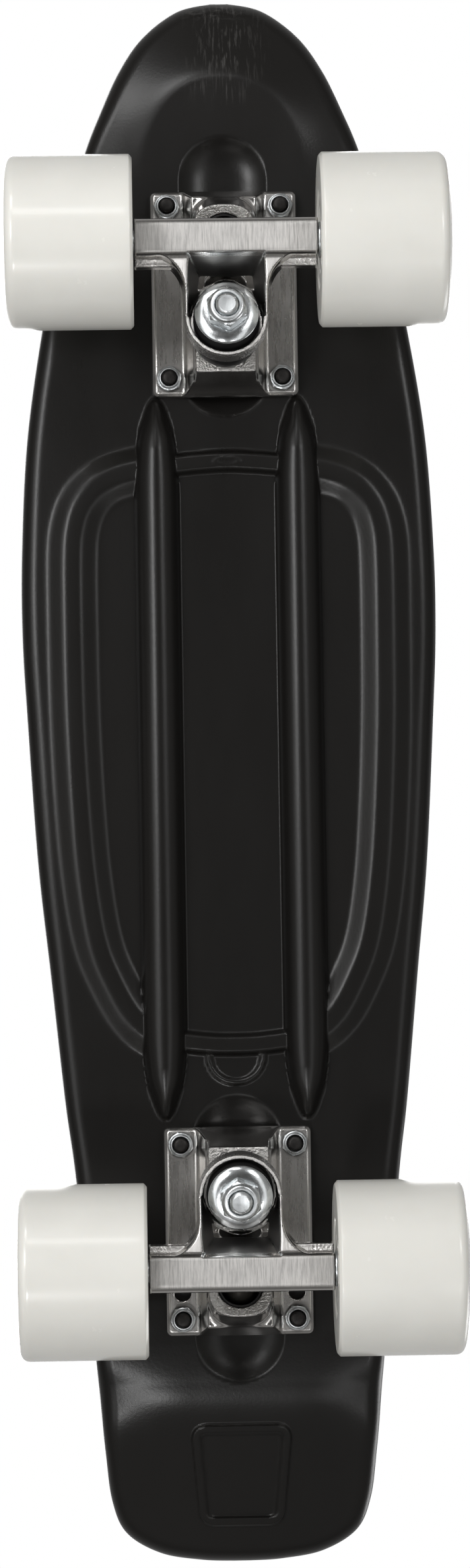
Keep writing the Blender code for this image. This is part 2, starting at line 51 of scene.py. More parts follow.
# ================================================================ sizes, as in the CAD
DECK_UNDER_Z, DECK_THICK = 75.0, 9.0
NOSE_BEND, NOSE_SLOPE = (29.0, 43.5, 205.0), 0.60
TAIL_BEND_Y, TAIL_SLOPE = -221.0, 0.45
OUTLINE = ((3.0, 280.0), (15.5, 276.8), (28.0, 266.5), (36.5, 253.5),
           (43.3, 238.0), (49.5, 221.5), (58.5, 190.0), (65.0, 159.0),
           (70.8, 120.0), (73.2, 80.0), (73.4, 50.0), (72.0, 20.0),
           (69.0, -30.0), (65.0, -70.0), (60.5, -115.0), (57.0, -143.0),
           (51.0, -205.0), (48.2, -238.0), (46.0, -257.0), (41.0, -269.0),
           (29.0, -276.6), (14.5, -279.4), (3.0, -280.0))
RIB_X, RIB_HALF_WIDTH, RIB_HEIGHT = 25.0, 7.6, 8.0
RIB_FRONT_Y, RIB_REAR_Y, RIB_FRONT_TAPER, RIB_REAR_TAPER = 134.0, -121.5, 34.0, 33.0
RING_HEIGHT, RING_CREST, RING_BASE = 3.0, 3.1, 8.6
RING_PATH = ((0.0, 111.3), (19.0, 110.0), (36.0, 107.3), (45.0, 103.5),
             (51.0, 97.0), (54.0, 89.0), (55.2, 78.0), (55.3, 50.0),
             (54.9, 20.0), (53.6, -10.0), (51.6, -36.0), (48.0, -58.5),
             (42.5, -73.0), (35.5, -85.0), (26.0, -92.0), (12.0, -94.6))
RECESS_R, RECESS_DEPTH = 15.2, 4.0
RECESSES = ((127.4, 227.0), (-213.0, -113.4))
TRUCK_Y = {"front": 170.5, "rear": -160.5}
BOLT_X, BOLT_Y = 20.0, 30.5
AXLE_V, AXLE_H, AXLE_R = 11.2, 45.0, 4.0
KING_V0, KING_TILT = -19.8, radians(9.0)
PIVOT_V, PIVOT_H, PIVOT_TILT = 19.8, 12.7, radians(26.6)
SEAT_S, RING_S0, CUP_S, RING_S1 = 15.0, 27.0, 31.0, 39.3
WASHER_S, NUT_S, KING_END_S = 42.8, 44.6, 53.0
HANGER_HALF, WHEEL_IN, WHEEL_W, WHEEL_R = 31.6, 32.0, 45.0, 30.0
TYRE_R, TYRE_OUT = 29.99, 76.99
BEARING_R, BEARING_W = 11.0, 7.0
KC, KS = cos(KING_TILT), sin(KING_TILT)
RING_MID = (KING_V0 + KS * (RING_S0 + RING_S1) / 2, KC * (RING_S0 + RING_S1) / 2)
_sl = sqrt((RING_MID[0] - PIVOT_V) ** 2 + (RING_MID[1] - PIVOT_H) ** 2)
STEER = ((RING_MID[0] - PIVOT_V) / _sl, (RING_MID[1] - PIVOT_H) / _sl)     # v, h


# ================================================================ mesh helpers
def mesh_from(name, verts_mm, faces, normals=None):
    """A mesh from arrays: verts (n,3) in mm, faces a list of (m,k) arrays."""
    V = np.asarray(verts_mm, np.float64) * MM
    me = bpy.data.meshes.new(name)
    faces = [np.asarray(f, np.int32) for f in faces if len(f)]
    loops = np.concatenate([f.ravel() for f in faces])
    sizes = np.concatenate([np.full(len(f), f.shape[1], np.int32) for f in faces])
    starts = np.concatenate([[0], np.cumsum(sizes)[:-1]]).astype(np.int32)
    me.vertices.add(len(V))
    me.vertices.foreach_set("co", V.ravel().astype(np.float32))
    me.loops.add(len(loops))
    me.loops.foreach_set("vertex_index", loops)
    me.polygons.add(len(sizes))
    me.polygons.foreach_set("loop_start", starts)
    me.update(calc_edges=True)
    me.validate()
    me.shade_smooth()
    if normals is not None:
        me.normals_split_custom_set_from_vertices(np.asarray(normals, np.float32))
    return me


def place(name, me, mat, body, matrix=None, replaces=(), sharp=None):
    ob = bpy.data.objects.new(name, me)
    scene.collection.objects.link(ob)
    if len(me.materials) == 0:
        me.materials.append(mat)
    if sharp is not None:
        me.set_sharp_from_angle(angle=radians(sharp))
    if matrix is not None:
        ob.matrix_world = matrix
    bpy.context.view_layer.update()
    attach(ob, body)
    if replaces:
        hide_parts(*replaces)
    return ob


def frame_vectors(axis):
    a = Vector(axis).normalized()
    ref = Vector((1, 0, 0)) if abs(a.x) < 0.9 else Vector((0, 0, 1))
    u = (ref - a * ref.dot(a)).normalized()
    return a, u, a.cross(u)


def hex_r(th, apothem):
    return apothem / np.cos((th + pi / 6) % (pi / 3) - pi / 6)


def turn(name, profile, segs=48, closed=False, helix=None):
    """Turned shape about +Z.  profile rows: (along, radius[, kind]) with kind
    'hex' (radius is half the width over flats) or a number, the width over
    flats that limits a round.  closed: the profile is a loop round a bore.
    helix: (first, last, pitch, depth) cuts a thread between two heights."""
    th = 2 * pi * np.arange(segs) / segs
    rows = []
    for p in profile:
        z, r = p[0], p[1]
        kind = p[2] if len(p) > 2 else None
        rr = np.full(segs, float(r))
        if kind == "hex":
            rr = hex_r(th, r)
        elif kind is not None:
            rr = np.minimum(hex_r(th, kind / 2), r)
        if helix and helix[0] <= z <= helix[1] and r > 1e-6:
            ph = (z / helix[2] - th / (2 * pi)) % 1.0
            rr = rr - helix[3] * np.abs(ph * 2 - 1)
        rows.append(np.stack([rr * np.cos(th), rr * np.sin(th), np.full(segs, float(z))], 1))
    V, idx, k = [], [], 0
    for p, row in zip(profile, rows):
        if p[1] < 1e-6:
            V.append(row[:1]); idx.append(np.full(segs, k)); k += 1
        else:
            V.append(row); idx.append(np.arange(k, k + segs)); k += segs
    quads, tris = [], []
    n = len(rows)
    for i in range(n if closed else n - 1):
        a, b = idx[i], idx[(i + 1) % n]
        a1, b1 = np.roll(a, -1), np.roll(b, -1)
        if a[0] == a[1]:
            tris.append(np.stack([a, b1, b], 1))
        elif b[0] == b[1]:
            tris.append(np.stack([a, a1, b], 1))
        else:
            quads.append(np.stack([a, a1, b1, b], 1))
    V = np.concatenate(V)
    faces = []
    if quads:
        faces.append(np.concatenate(quads))
    if tris:
        faces.append(np.concatenate(tris))
    # face outward: a positive enclosed volume
    vol = 0.0
    for f in faces:
        c = V[f]
        for j in range(1, f.shape[1] - 1):
            vol += np.einsum("ij,ij->i", c[:, 0], np.cross(c[:, j], c[:, j + 1])).sum()
    if vol < 0:
        faces = [f[:, ::-1] for f in faces]
    return mesh_from(name, V, faces)


def arc(z0, r0, z1, r1, n, bulge=1.0, lead="z"):
    """Quarter ellipse from one profile point to another.  lead 'z' leaves the
    first point along the axis, 'r' leaves it along the radius."""
    out = []
    for i in range(1, n + 1):
        t = pi / 2 * i / n
        a, b = (sin(t), 1 - cos(t)) if lead == "z" else (1 - cos(t), sin(t))
        out.append((z0 + (z1 - z0) * a, r0 + (r1 - r0) * b))
    return out


def axis_matrix(origin_mm, axis, spin=0.0):
    a, u, v = frame_vectors(axis)
    R = Matrix((u, v, a)).transposed()
    return Matrix.Translation(Vector(origin_mm) * MM) @ R.to_4x4() @ Matrix.Rotation(spin, 4, "Z")


# ---------------------------------------------------------------- solids as distance fields
def smin(a, b, k):
    h = np.clip(0.5 + 0.5 * (b - a) / k, 0, 1)
    return b * (1 - h) + a * h - k * h * (1 - h)


def smax(a, b, k):
    return -smin(-a, -b, k)


def smaxs(k, *fs):
    r = fs[0]
    for f in fs[1:]:
        r = smax(r, f, k)
    return r


def edge2(v, h, a, b):
    """Distance to the line a-b in the v, h plane, positive on its right."""
    dx, dy = b[0] - a[0], b[1] - a[1]
    n = sqrt(dx * dx + dy * dy)
    return ((v - a[0]) * dy - (h - a[1]) * dx) / n


def poly2(v, h, pts, k=0.4):
    """Convex polygon in the v, h plane, corners listed counter-clockwise."""
    return smaxs(k, *[edge2(v, h, pts[i], pts[(i + 1) % len(pts)]) for i in range(len(pts))])


def nets(name, f, lo, hi, step):
    """Even quad mesh of the surface f = 0, with its points moved onto it."""
    lo = np.array(lo, float)
    n = np.ceil((np.array(hi, float) - lo) / step).astype(int) + 1
    axs = [lo[i] + step * np.arange(n[i]) for i in range(3)]
    G = np.meshgrid(*axs, indexing="ij")
    S = f(*G)
    cs = tuple(n - 1)
    acc = np.zeros(cs + (3,), np.float32)
    cnt = np.zeros(cs, np.float32)
    faces = []
    crosses = []
    for a in range(3):
        b, c = (a + 1) % 3, (a + 2) % 3
        s0 = np.take(S, np.arange(n[a] - 1), axis=a)
        s1 = np.take(S, np.arange(1, n[a]), axis=a)
        cross = (s0 < 0) != (s1 < 0)
        with np.errstate(divide="ignore", invalid="ignore"):
            t = np.where(cross, s0 / (s0 - s1), 0)
        crosses.append((cross, s0 < 0))
        for db in (0, 1):
            for dc in (0, 1):
                sl = [slice(None)] * 3
                sl[b] = slice(db, db + n[b] - 1)
                sl[c] = slice(dc, dc + n[c] - 1)
                cr = cross[tuple(sl)]
                cnt += cr
                acc[..., a] += np.where(cr, t[tuple(sl)], 0)
                acc[..., b] += cr * db
                acc[..., c] += cr * dc
    active = cnt > 0
    idx = -np.ones(active.shape, np.int64)
    idx[active] = np.arange(active.sum())
    P = lo + step * (np.argwhere(active) + acc[active] / cnt[active][:, None])
    for a in range(3):
        b, c = (a + 1) % 3, (a + 2) % 3
        cross, neg = crosses[a]
        where = np.argwhere(cross)
        ok = (where[:, b] > 0) & (where[:, b] < n[b] - 1) & (where[:, c] > 0) & (where[:, c] < n[c] - 1)
        where = where[ok]
        quad = []
        for db, dc in ((-1, -1), (0, -1), (0, 0), (-1, 0)):
            w = where.copy()
            w[:, b] += db
            w[:, c] += dc
            quad.append(idx[w[:, 0], w[:, 1], w[:, 2]])
        q = np.stack(quad, 1)
        flip = ~neg[where[:, 0], where[:, 1], where[:, 2]]
        q[flip] = q[flip][:, ::-1]
        faces.append(q)
    e = 0.03

    def grad(Q):
        g = np.empty_like(Q)
        for a in range(3):
            d = np.zeros(3)
            d[a] = e
            g[:, a] = (f(*(Q + d).T) - f(*(Q - d).T)) / (2 * e)
        return g

    for _ in range(3):
        g = grad(P)
        g2 = np.maximum((g ** 2).sum(1), 0.3)
        P = P - np.clip(f(*P.T) / g2, -step * 0.6, step * 0.6)[:, None] * g
    N = grad(P)
    N /= np.maximum(np.linalg.norm(N, axis=1), 1e-9)[:, None]
    return P, np.concatenate(faces), N


# ================================================================ materials
def new_mat(name):
    m = bpy.data.materials.new(name)
    m.use_nodes = True
    nt = m.node_tree
    return m, nt, nt.nodes["Principled BSDF"]


def node(nt, kind, **kw):
    n = nt.nodes.new(kind)
    for k, v in kw.items():
        if k.startswith("i_"):
            key = k[2:]
            n.inputs[int(key) if key.isdigit() else key.replace("_", " ")].default_value = v
        else:
            setattr(n, k, v)
    return n


def ramp(nt, src, stops, interp="LINEAR"):
    r = nt.nodes.new("ShaderNodeValToRGB")
    r.color_ramp.interpolation = interp
    el = r.color_ramp.elements
    while len(el) < len(stops):
        el.new(0.5)
    for e, (p, c) in zip(el, stops):
        e.position = p
        e.color = (c, c, c, 1) if not isinstance(c, tuple) else (*c, 1)
    nt.links.new(src, r.inputs["Fac"])
    return r.outputs["Color"]


def noise(nt, vec, scale, detail=4.0, rough=0.55, dist=0.0):
    n = node(nt, "ShaderNodeTexNoise", i_Scale=scale, i_Detail=detail, i_Roughness=rough, i_Distortion=dist)
    nt.links.new(vec, n.inputs["Vector"])
    return n.outputs["Fac"]


def stretch(nt, vec, sx, sy, sz, rot=(0, 0, 0)):
    m = nt.nodes.new("ShaderNodeMapping")
    m.inputs["Scale"].default_value = (sx, sy, sz)
    m.inputs["Rotation"].default_value = rot
    nt.links.new(vec, m.inputs["Vector"])
    return m.outputs["Vector"]


def maths(nt, op, a, b=None, clamp=False):
    n = nt.nodes.new("ShaderNodeMath")
    n.operation = op
    n.use_clamp = clamp
    for i, s in enumerate((a, b)):
        if s is None:
            continue
        if isinstance(s, (int, float)):
            n.inputs[i].default_value = s
        else:
            nt.links.new(s, n.inputs[i])
    return n.outputs[0]


def bump(nt, height, strength, dist, normal=None):
    b = node(nt, "ShaderNodeBump")
    b.inputs["Strength"].default_value = strength
    b.inputs["Distance"].default_value = dist
    nt.links.new(height, b.inputs["Height"])
    if normal:
        nt.links.new(normal, b.inputs["Normal"])
    return b.outputs["Normal"]


def coords(nt):
    return nt.nodes.new("ShaderNodeTexCoord").outputs["Object"]


def set_const(b, **kw):
    for k, v in kw.items():
        b.inputs[k.replace("_", " ")].default_value = v


def deck_plastic():
    m, nt, b = new_mat("black_deck_plastic")
    co = coords(nt)
    cloud = noise(nt, stretch(nt, co, 1, 0.5, 1), 9.0, 5, 0.6)
    fine = noise(nt, co, 900.0, 3, 0.6)
    tone = ramp(nt, cloud, ((0.3, (0.0060, 0.0055, 0.0050)), (0.75, (0.0095, 0.0086, 0.0078))))
    # rubbed patches at the nose's tip, where it has met kerbs
    sep = nt.nodes.new("ShaderNodeSeparateXYZ")
    nt.links.new(co, sep.inputs[0])
    x, y, z = sep.outputs
    nose = maths(nt, "MULTIPLY", maths(nt, "SUBTRACT", y, 0.2705), 110.0, clamp=True)
    nearx = maths(nt, "SUBTRACT", 1.0, maths(nt, "MULTIPLY", maths(nt, "ABSOLUTE", maths(nt, "SUBTRACT", x, 0.004)), 48.0), clamp=True)
    speck = ramp(nt, noise(nt, stretch(nt, co, 260, 700, 260), 1.0, 4, 0.7), ((0.50, 0.0), (0.62, 1.0)))
    scuff = maths(nt, "MULTIPLY", maths(nt, "MULTIPLY", nose, nearx), speck)
    strokes = ramp(nt, noise(nt, stretch(nt, co, 1100, 75, 200, (0, 0, 0.25)), 1.0, 3, 0.6), ((0.53, 0.0), (0.66, 1.0)))
    sy = maths(nt, "MULTIPLY", maths(nt, "SUBTRACT", y, 0.238), 130.0, clamp=True)
    sx = maths(nt, "SUBTRACT", 1.0, maths(nt, "MULTIPLY", maths(nt, "ABSOLUTE", maths(nt, "SUBTRACT", x, -0.002)), 60.0), clamp=True)
    stroke = maths(nt, "MULTIPLY", maths(nt, "MULTIPLY", sy, sx), maths(nt, "MULTIPLY", strokes, 0.30))
    worn = maths(nt, "ADD", maths(nt, "MULTIPLY", scuff, 0.42), stroke, clamp=True)
    mix = node(nt, "ShaderNodeMix", data_type="RGBA")
    nt.links.new(worn, mix.inputs["Factor"])
    nt.links.new(tone, mix.inputs["A"])
    mix.inputs["B"].default_value = (0.13, 0.125, 0.12, 1)
    nt.links.new(mix.outputs["Result"], b.inputs["Base Color"])
    smear = noise(nt, stretch(nt, co, 1, 0.25, 1), 26.0, 4, 0.6)
    rough = maths(nt, "ADD", maths(nt, "MULTIPLY", smear, 0.14), 0.22)
    rough = maths(nt, "ADD", rough, maths(nt, "MULTIPLY", worn, 0.3), clamp=True)
    nt.links.new(rough, b.inputs["Roughness"])
    n1 = bump(nt, fine, 0.10, 0.0003)
    n2 = bump(nt, noise(nt, stretch(nt, co, 1, 0.6, 1), 40.0, 2, 0.5), 0.06, 0.002, n1)
    nt.links.new(n2, b.inputs["Normal"])
    set_const(b, Specular_IOR_Level=0.38)
    return m


def cast_metal(name="polished_cast_aluminium", base=(0.76, 0.742, 0.722)):
    m, nt, b = new_mat(name)
    co = coords(nt)
    b.inputs["Metallic"].default_value = 1.0
    blotch = noise(nt, co, 60.0, 4, 0.6)
    nt.links.new(ramp(nt, blotch, ((0.3, tuple(c * 0.84 for c in base)), (0.7, base))), b.inputs["Base Color"])
    mask = node(nt, "ShaderNodeAttribute", attribute_name="cast").outputs["Fac"]
    grain = node(nt, "ShaderNodeAttribute", attribute_name="grain").outputs["Fac"]
    painted_shade = node(nt, "ShaderNodeAttribute", attribute_name="painted_shade").outputs["Fac"]
    # painted shade: the attribute read here darkens the base colour towards near-black where the castings lie in shade,
    # and raises roughness there
    dark = node(nt, "ShaderNodeMix", data_type="RGBA")
    nt.links.new(painted_shade, dark.inputs["Factor"])
    nt.links.new(b.inputs["Base Color"].links[0].from_socket, dark.inputs["A"])
    dark.inputs["B"].default_value = (0.03, 0.028, 0.025, 1)
    # fine brushing along the board's length, pits where the casting was left rough
    brush = noise(nt, stretch(nt, co, 2600, 150, 300), 1.0, 3, 0.65)
    broad = noise(nt, stretch(nt, co, 420, 60, 90), 1.0, 3, 0.6)
    streak = ramp(nt, brush, ((0.34, 0.62), (0.60, 1.0)))
    tint = node(nt, "ShaderNodeMix", data_type="RGBA", blend_type="MULTIPLY")
    nt.links.new(maths(nt, "MULTIPLY", grain, 0.75), tint.inputs["Factor"])
    nt.links.new(dark.outputs["Result"], tint.inputs["A"])
    nt.links.new(streak, tint.inputs["B"])
    nt.links.new(tint.outputs["Result"], b.inputs["Base Color"])
    grit = noise(nt, co, 1300.0, 2, 0.7)
    r = maths(nt, "ADD", maths(nt, "MULTIPLY", broad, 0.14), 0.10)
    r = maths(nt, "ADD", r, maths(nt, "MULTIPLY", mask, 0.12))
    r = maths(nt, "ADD", r, maths(nt, "MULTIPLY", grain, maths(nt, "ADD", maths(nt, "MULTIPLY", brush, 0.30), 0.21)))
    r = maths(nt, "ADD", r, maths(nt, "MULTIPLY", painted_shade, 0.3), clamp=True)
    nt.links.new(r, b.inputs["Roughness"])
    hgt = maths(nt, "MULTIPLY", brush, maths(nt, "ADD", maths(nt, "MULTIPLY", grain, 0.9), 0.10))
    n1 = bump(nt, hgt, 0.45, 0.00016)
    g = maths(nt, "MULTIPLY", grit, mask)
    n2 = bump(nt, g, 1.0, 0.0006, n1)
    nt.links.new(n2, b.inputs["Normal"])
    return m


def zinc(name="bright_zinc", base=(0.80, 0.83, 0.845), lo=0.16, hi=0.46):
    m, nt, b = new_mat(name)
    co = coords(nt)
    b.inputs["Metallic"].default_value = 1.0
    blotch = noise(nt, co, 220.0, 4, 0.65)
    nt.links.new(ramp(nt, blotch, ((0.32, tuple(c * 0.80 for c in base)), (0.66, base))), b.inputs["Base Color"])
    r = maths(nt, "ADD", maths(nt, "MULTIPLY", noise(nt, co, 420.0, 3, 0.6), hi - lo), lo)
    nt.links.new(r, b.inputs["Roughness"])
    nt.links.new(bump(nt, noise(nt, co, 700.0, 3, 0.6), 0.22, 0.00012), b.inputs["Normal"])
    return m


def dark_steel():
    m, nt, b = new_mat("black_oxide_steel")
    co = coords(nt)
    b.inputs["Metallic"].default_value = 0.6
    nt.links.new(ramp(nt, noise(nt, co, 500.0, 3, 0.6), ((0.3, (0.012, 0.011, 0.011)), (0.7, (0.035, 0.032, 0.030)))), b.inputs["Base Color"])
    nt.links.new(maths(nt, "ADD", maths(nt, "MULTIPLY", noise(nt, co, 900.0, 2), 0.3), 0.3), b.inputs["Roughness"])
    nt.links.new(bump(nt, noise(nt, co, 1200.0, 3), 0.25, 0.0001), b.inputs["Normal"])
    return m


def rubber():
    m, nt, b = new_mat("black_bushing_rubber")
    co = coords(nt)
    nt.links.new(ramp(nt, noise(nt, co, 150.0, 4), ((0.3, (0.008, 0.008, 0.008)), (0.7, (0.018, 0.017, 0.017)))), b.inputs["Base Color"])
    nt.links.new(maths(nt, "ADD", maths(nt, "MULTIPLY", noise(nt, co, 300.0, 3), 0.2), 0.42), b.inputs["Roughness"])
    nt.links.new(bump(nt, noise(nt, co, 1500.0, 2), 0.2, 0.0001), b.inputs["Normal"])
    return m


def urethane(name="cream_urethane", a=(0.765, 0.753, 0.708), c=(0.812, 0.800, 0.756)):
    m, nt, b = new_mat(name)
    co = coords(nt)
    nt.links.new(ramp(nt, noise(nt, co, 34.0, 4, 0.55), ((0.3, a), (0.7, c))), b.inputs["Base Color"])
    r = maths(nt, "ADD", maths(nt, "MULTIPLY", noise(nt, co, 90.0, 4, 0.6), 0.16), 0.16)
    nt.links.new(r, b.inputs["Roughness"])
    n1 = bump(nt, noise(nt, stretch(nt, co, 60, 18, 18), 1.0, 3, 0.5), 0.10, 0.0006)
    n2 = bump(nt, noise(nt, co, 900.0, 2, 0.6), 0.05, 0.00012, n1)
    nt.links.new(n2, b.inputs["Normal"])
    set_const(b, Subsurface_Weight=0.12, Subsurface_Scale=0.004, Coat_Weight=0.25, Coat_Roughness=0.12)
    b.inputs["Subsurface Radius"].default_value = (1.0, 0.8, 0.6)
    return m


def steel():
    return zinc("ground_steel", (0.60, 0.60, 0.60), 0.16, 0.36)


M_DECK = deck_plastic()
M_CAST = cast_metal()
M_ZINC = zinc()
M_WASHER = zinc("bright_zinc_disc", (0.80, 0.83, 0.845), 0.10, 0.30)
M_DARK = dark_steel()
M_RUBBER = rubber()
M_WHEEL = urethane()
M_CORE = urethane("cream_core", (0.74, 0.735, 0.70), (0.79, 0.785, 0.75))
M_STEEL = steel()
M_NYLON = urethane("pale_nylon", (0.50, 0.50, 0.49), (0.60, 0.60, 0.58))


# ================================================================ deck
def rise(x, y):
    x, y = np.asarray(x, float), np.asarray(y, float)
    a, b, y0 = NOSE_BEND
    yy = np.maximum(y - y0, 0.0)
    q = np.maximum(((np.abs(x) / a) ** 2.3 + (yy / b) ** 2.3) ** (1 / 2.3), 1e-9)
    r = np.sqrt(x * x + yy * yy)
    d = np.maximum(r * (1 - 1 / q), 0.0)
    up = NOSE_SLOPE * (np.sqrt(d * d + 16.0) - 4.0) * (yy / np.maximum(r, 1e-6)) ** 2
    up = np.where((y > y0) & (q > 1), up, 0.0)
    t = TAIL_BEND_Y - y
    soft = 7.0
    f = np.clip((t + 3 * soft) / (2 * soft), 0, 1)
    # the bend curls up a little towards its two sides
    curl = 0.0030 * np.maximum(np.abs(x) - 18.0, 0.0) ** 2 * np.exp(-((y - TAIL_BEND_Y - 2.0) / 10.0) ** 2)
    return up + TAIL_SLOPE * 0.5 * (t + np.sqrt(t * t + soft * soft)) * f + curl


def catmull(points, per, closed=False):
    n = len(points)
    P = np.array(points, float)
    out = []
    T = np.arange(per)[:, None] / per
    for i in range(n if closed else n - 1):
        if closed:
            q = [P[(i + d) % n] for d in (-1, 0, 1, 2)]
        else:
            q = [P[max(0, i - 1)], P[i], P[i + 1], P[min(n - 1, i + 2)]]
        out.append(0.5 * (2 * q[1] + (q[2] - q[0]) * T + (2 * q[0] - 5 * q[1] + 4 * q[2] - q[3]) * T ** 2
                          + (3 * q[1] - q[0] - 3 * q[2] + q[3]) * T ** 3))
    if not closed:
        out.append(P[-1:])
    return np.concatenate(out)


def resample(path, step, closed=False):
    if closed:
        path = np.concatenate([path, path[:1]])
    L = np.concatenate([[0], np.cumsum(np.linalg.norm(np.diff(path, axis=0), axis=1))])
    n = int(round(L[-1] / step))
    s = np.linspace(0, L[-1], n + (0 if closed else 1), endpoint=not closed)
    return np.stack([np.interp(s, L, path[:, c]) for c in range(path.shape[1])], 1)


def path_distance(X, Y, path, closed=True):
    """Distance from points to a polyline, worked out in slices."""
    a = path
    b = np.roll(path, -1, axis=0) if closed else path[1:]
    if not closed:
        a = path[:-1]
    best = np.full(X.shape, 1e9)
    for (ax, ay), (bx, by) in zip(a, b):
        dx, dy = bx - ax, by - ay
        l2 = dx * dx + dy * dy
        t = np.clip(((X - ax) * dx + (Y - ay) * dy) / l2, 0, 1)
        best = np.minimum(best, (X - ax - t * dx) ** 2 + (Y - ay - t * dy) ** 2)
    return np.sqrt(best)


def smooth01(t):
    t = np.clip(t, 0, 1)
    return t * t * (3 - 2 * t)


def ridge(d, crest, base, height, soft=0.8):
    """Trapezoid ridge over a centre line, its corners eased."""
    t = (base - d) / (base - crest)
    s = soft / (base - crest)
    # ease both corners of a clipped ramp
    lo = 0.5 * (t + np.sqrt(t * t + s * s))
    u = 1 - lo
    return height * (1 - 0.5 * (u + np.sqrt(u * u + s * s)))


def under_features(X, Y):
    """How far features stand down from the underside (hollows are negative)."""
    Z = np.zeros_like(X)
    # oval ring
    half = list(RING_PATH)
    loop = half + [(0.0, -95.2)] + [(-x, y) for x, y in reversed(half[1:])]
    path = resample(catmull(loop, 12, closed=True), 3.0, closed=True)
    near = (np.abs(X) < 66) & (Y > -108) & (Y < 124)
    d = np.full_like(X, 99.0)
    d[near] = path_distance(X[near], Y[near], path)
    # cross pieces are narrower than the sides, and the inner flank is steeper
    inner = (np.abs(X) < 18.5)
    crest = np.where(inner, 2.6, RING_CREST)
    base = np.where(inner, 4.2, RING_BASE)
    w = smooth01((np.abs(X) - 17.0) / 4.0)
    base = 4.0 + (RING_BASE - 4.0) * w
    ring = np.maximum(ridge(d, crest, base, RING_HEIGHT, 0.22 + 0.45 * w), 0)
    ring[~near] = 0
    Z = np.maximum(Z, ring)
    # long half-round ribs
    for sx in (1, -1):
        f = np.ones_like(Y)
        t = np.clip((RIB_FRONT_Y - Y) / RIB_FRONT_TAPER, 0, 1)
        f = f * np.sqrt(np.maximum(1 - (1 - t) ** 2, 0))
        t = np.clip((Y - RIB_REAR_Y) / RIB_REAR_TAPER, 0, 1)
        f = f * np.sqrt(np.maximum(1 - (1 - t) ** 2, 0))
        w = RIB_HALF_WIDTH * f
        f = np.minimum(f * 1.12, 1.0)
        u = np.abs(X - sx * RIB_X) / np.maximum(w, 1e-3)
        # a little straight draft at the foot, as a mould leaves it
        z = RIB_HEIGHT * f * np.sqrt(np.maximum(1 - np.minimum(u, 1) ** 2, 0))
        foot = RIB_HEIGHT * f * 0.312 * (1.05 - u) / 0.10
        z = np.where(u < 0.95, z, np.maximum(foot, 0))
        # towards its ends the rib runs out softly
        soft = RIB_HEIGHT * f * np.maximum(1 - np.minimum(u, 1) ** 2, 0) ** 1.15
        z = z + (soft - z) * smooth01((0.97 - f) / 0.30)
        Z = np.maximum(Z, z)
    # D-shaped ridge
    D_HALF, D_END, D_R = 9.5, -108.3, 9.0
    pts = [(D_HALF, -96.0), (D_HALF, D_END + D_R)]
    pts += [(D_HALF - D_R + D_R * cos(t), D_END + D_R - D_R * sin(t)) for t in np.linspace(0, pi / 2, 13)[1:]]
    pts = pts + [(-x, y) for x, y in reversed(pts)]
    near = (np.abs(X) < 12) & (Y > -111) & (Y < -95)
    dd = np.full_like(X, 99.0)
    dd[near] = path_distance(X[near], Y[near], np.array(pts, float), closed=False)
    Z = np.maximum(Z, np.where(near, 1.25 * smooth01((1.35 - dd) / 0.7), 0))
    # mark of the mould's gate on the front cross piece
    g = np.sqrt((X / 4.2) ** 2 + ((Y - 111.0) / 1.3) ** 2)
    Z = Z + 0.28 * np.clip(1 - np.abs(g - 1) / 0.25, 0, 1)
    # tail frame
    pts = rounded_loop([(16.2, -230.5), (13.4, -264.5), (-13.4, -264.5), (-16.2, -230.5)], 4.0, 6)
    near = (np.abs(X) < 20) & (Y < -226) & (Y > -269)
    dd = np.full_like(X, 99.0)
    dd[near] = path_distance(X[near], Y[near], pts)
    Z = np.maximum(Z, np.where(near, 1.4 * smooth01((2.0 - dd) / 0.85), 0))
    # hollows under the trucks
    for y0, y1 in RECESSES:
        yc = np.clip(Y, y0 + RECESS_R, y1 - RECESS_R)
        r = np.sqrt(X ** 2 + (Y - yc) ** 2)
        t = np.minimum(r / (RECESS_R + 0.4), 1)
        Z = np.where(r < RECESS_R + 0.4, -RECESS_DEPTH * (1 - t ** 3.0), Z)
    return Z


def rounded_loop(points, r, steps=4):
    out = []
    n = len(points)
    for i in range(n):
        p = np.array(points[i], float)
        a = np.array(points[i - 1], float) - p
        b = np.array(points[(i + 1) % n], float) - p
        a /= np.linalg.norm(a)
        b /= np.linalg.norm(b)
        for j in range(steps + 1):
            t = j / steps
            out.append((p + a * r) * (1 - t) ** 2 + p * 2 * t * (1 - t) + (p + b * r) * t * t)
    return np.array(out)


def grip_drop(X, Y, d_edge):
    """The non-slip field lies half a millimetre under the rim."""
    return 0.5 * smooth01((d_edge - 7.5) / 0.8)


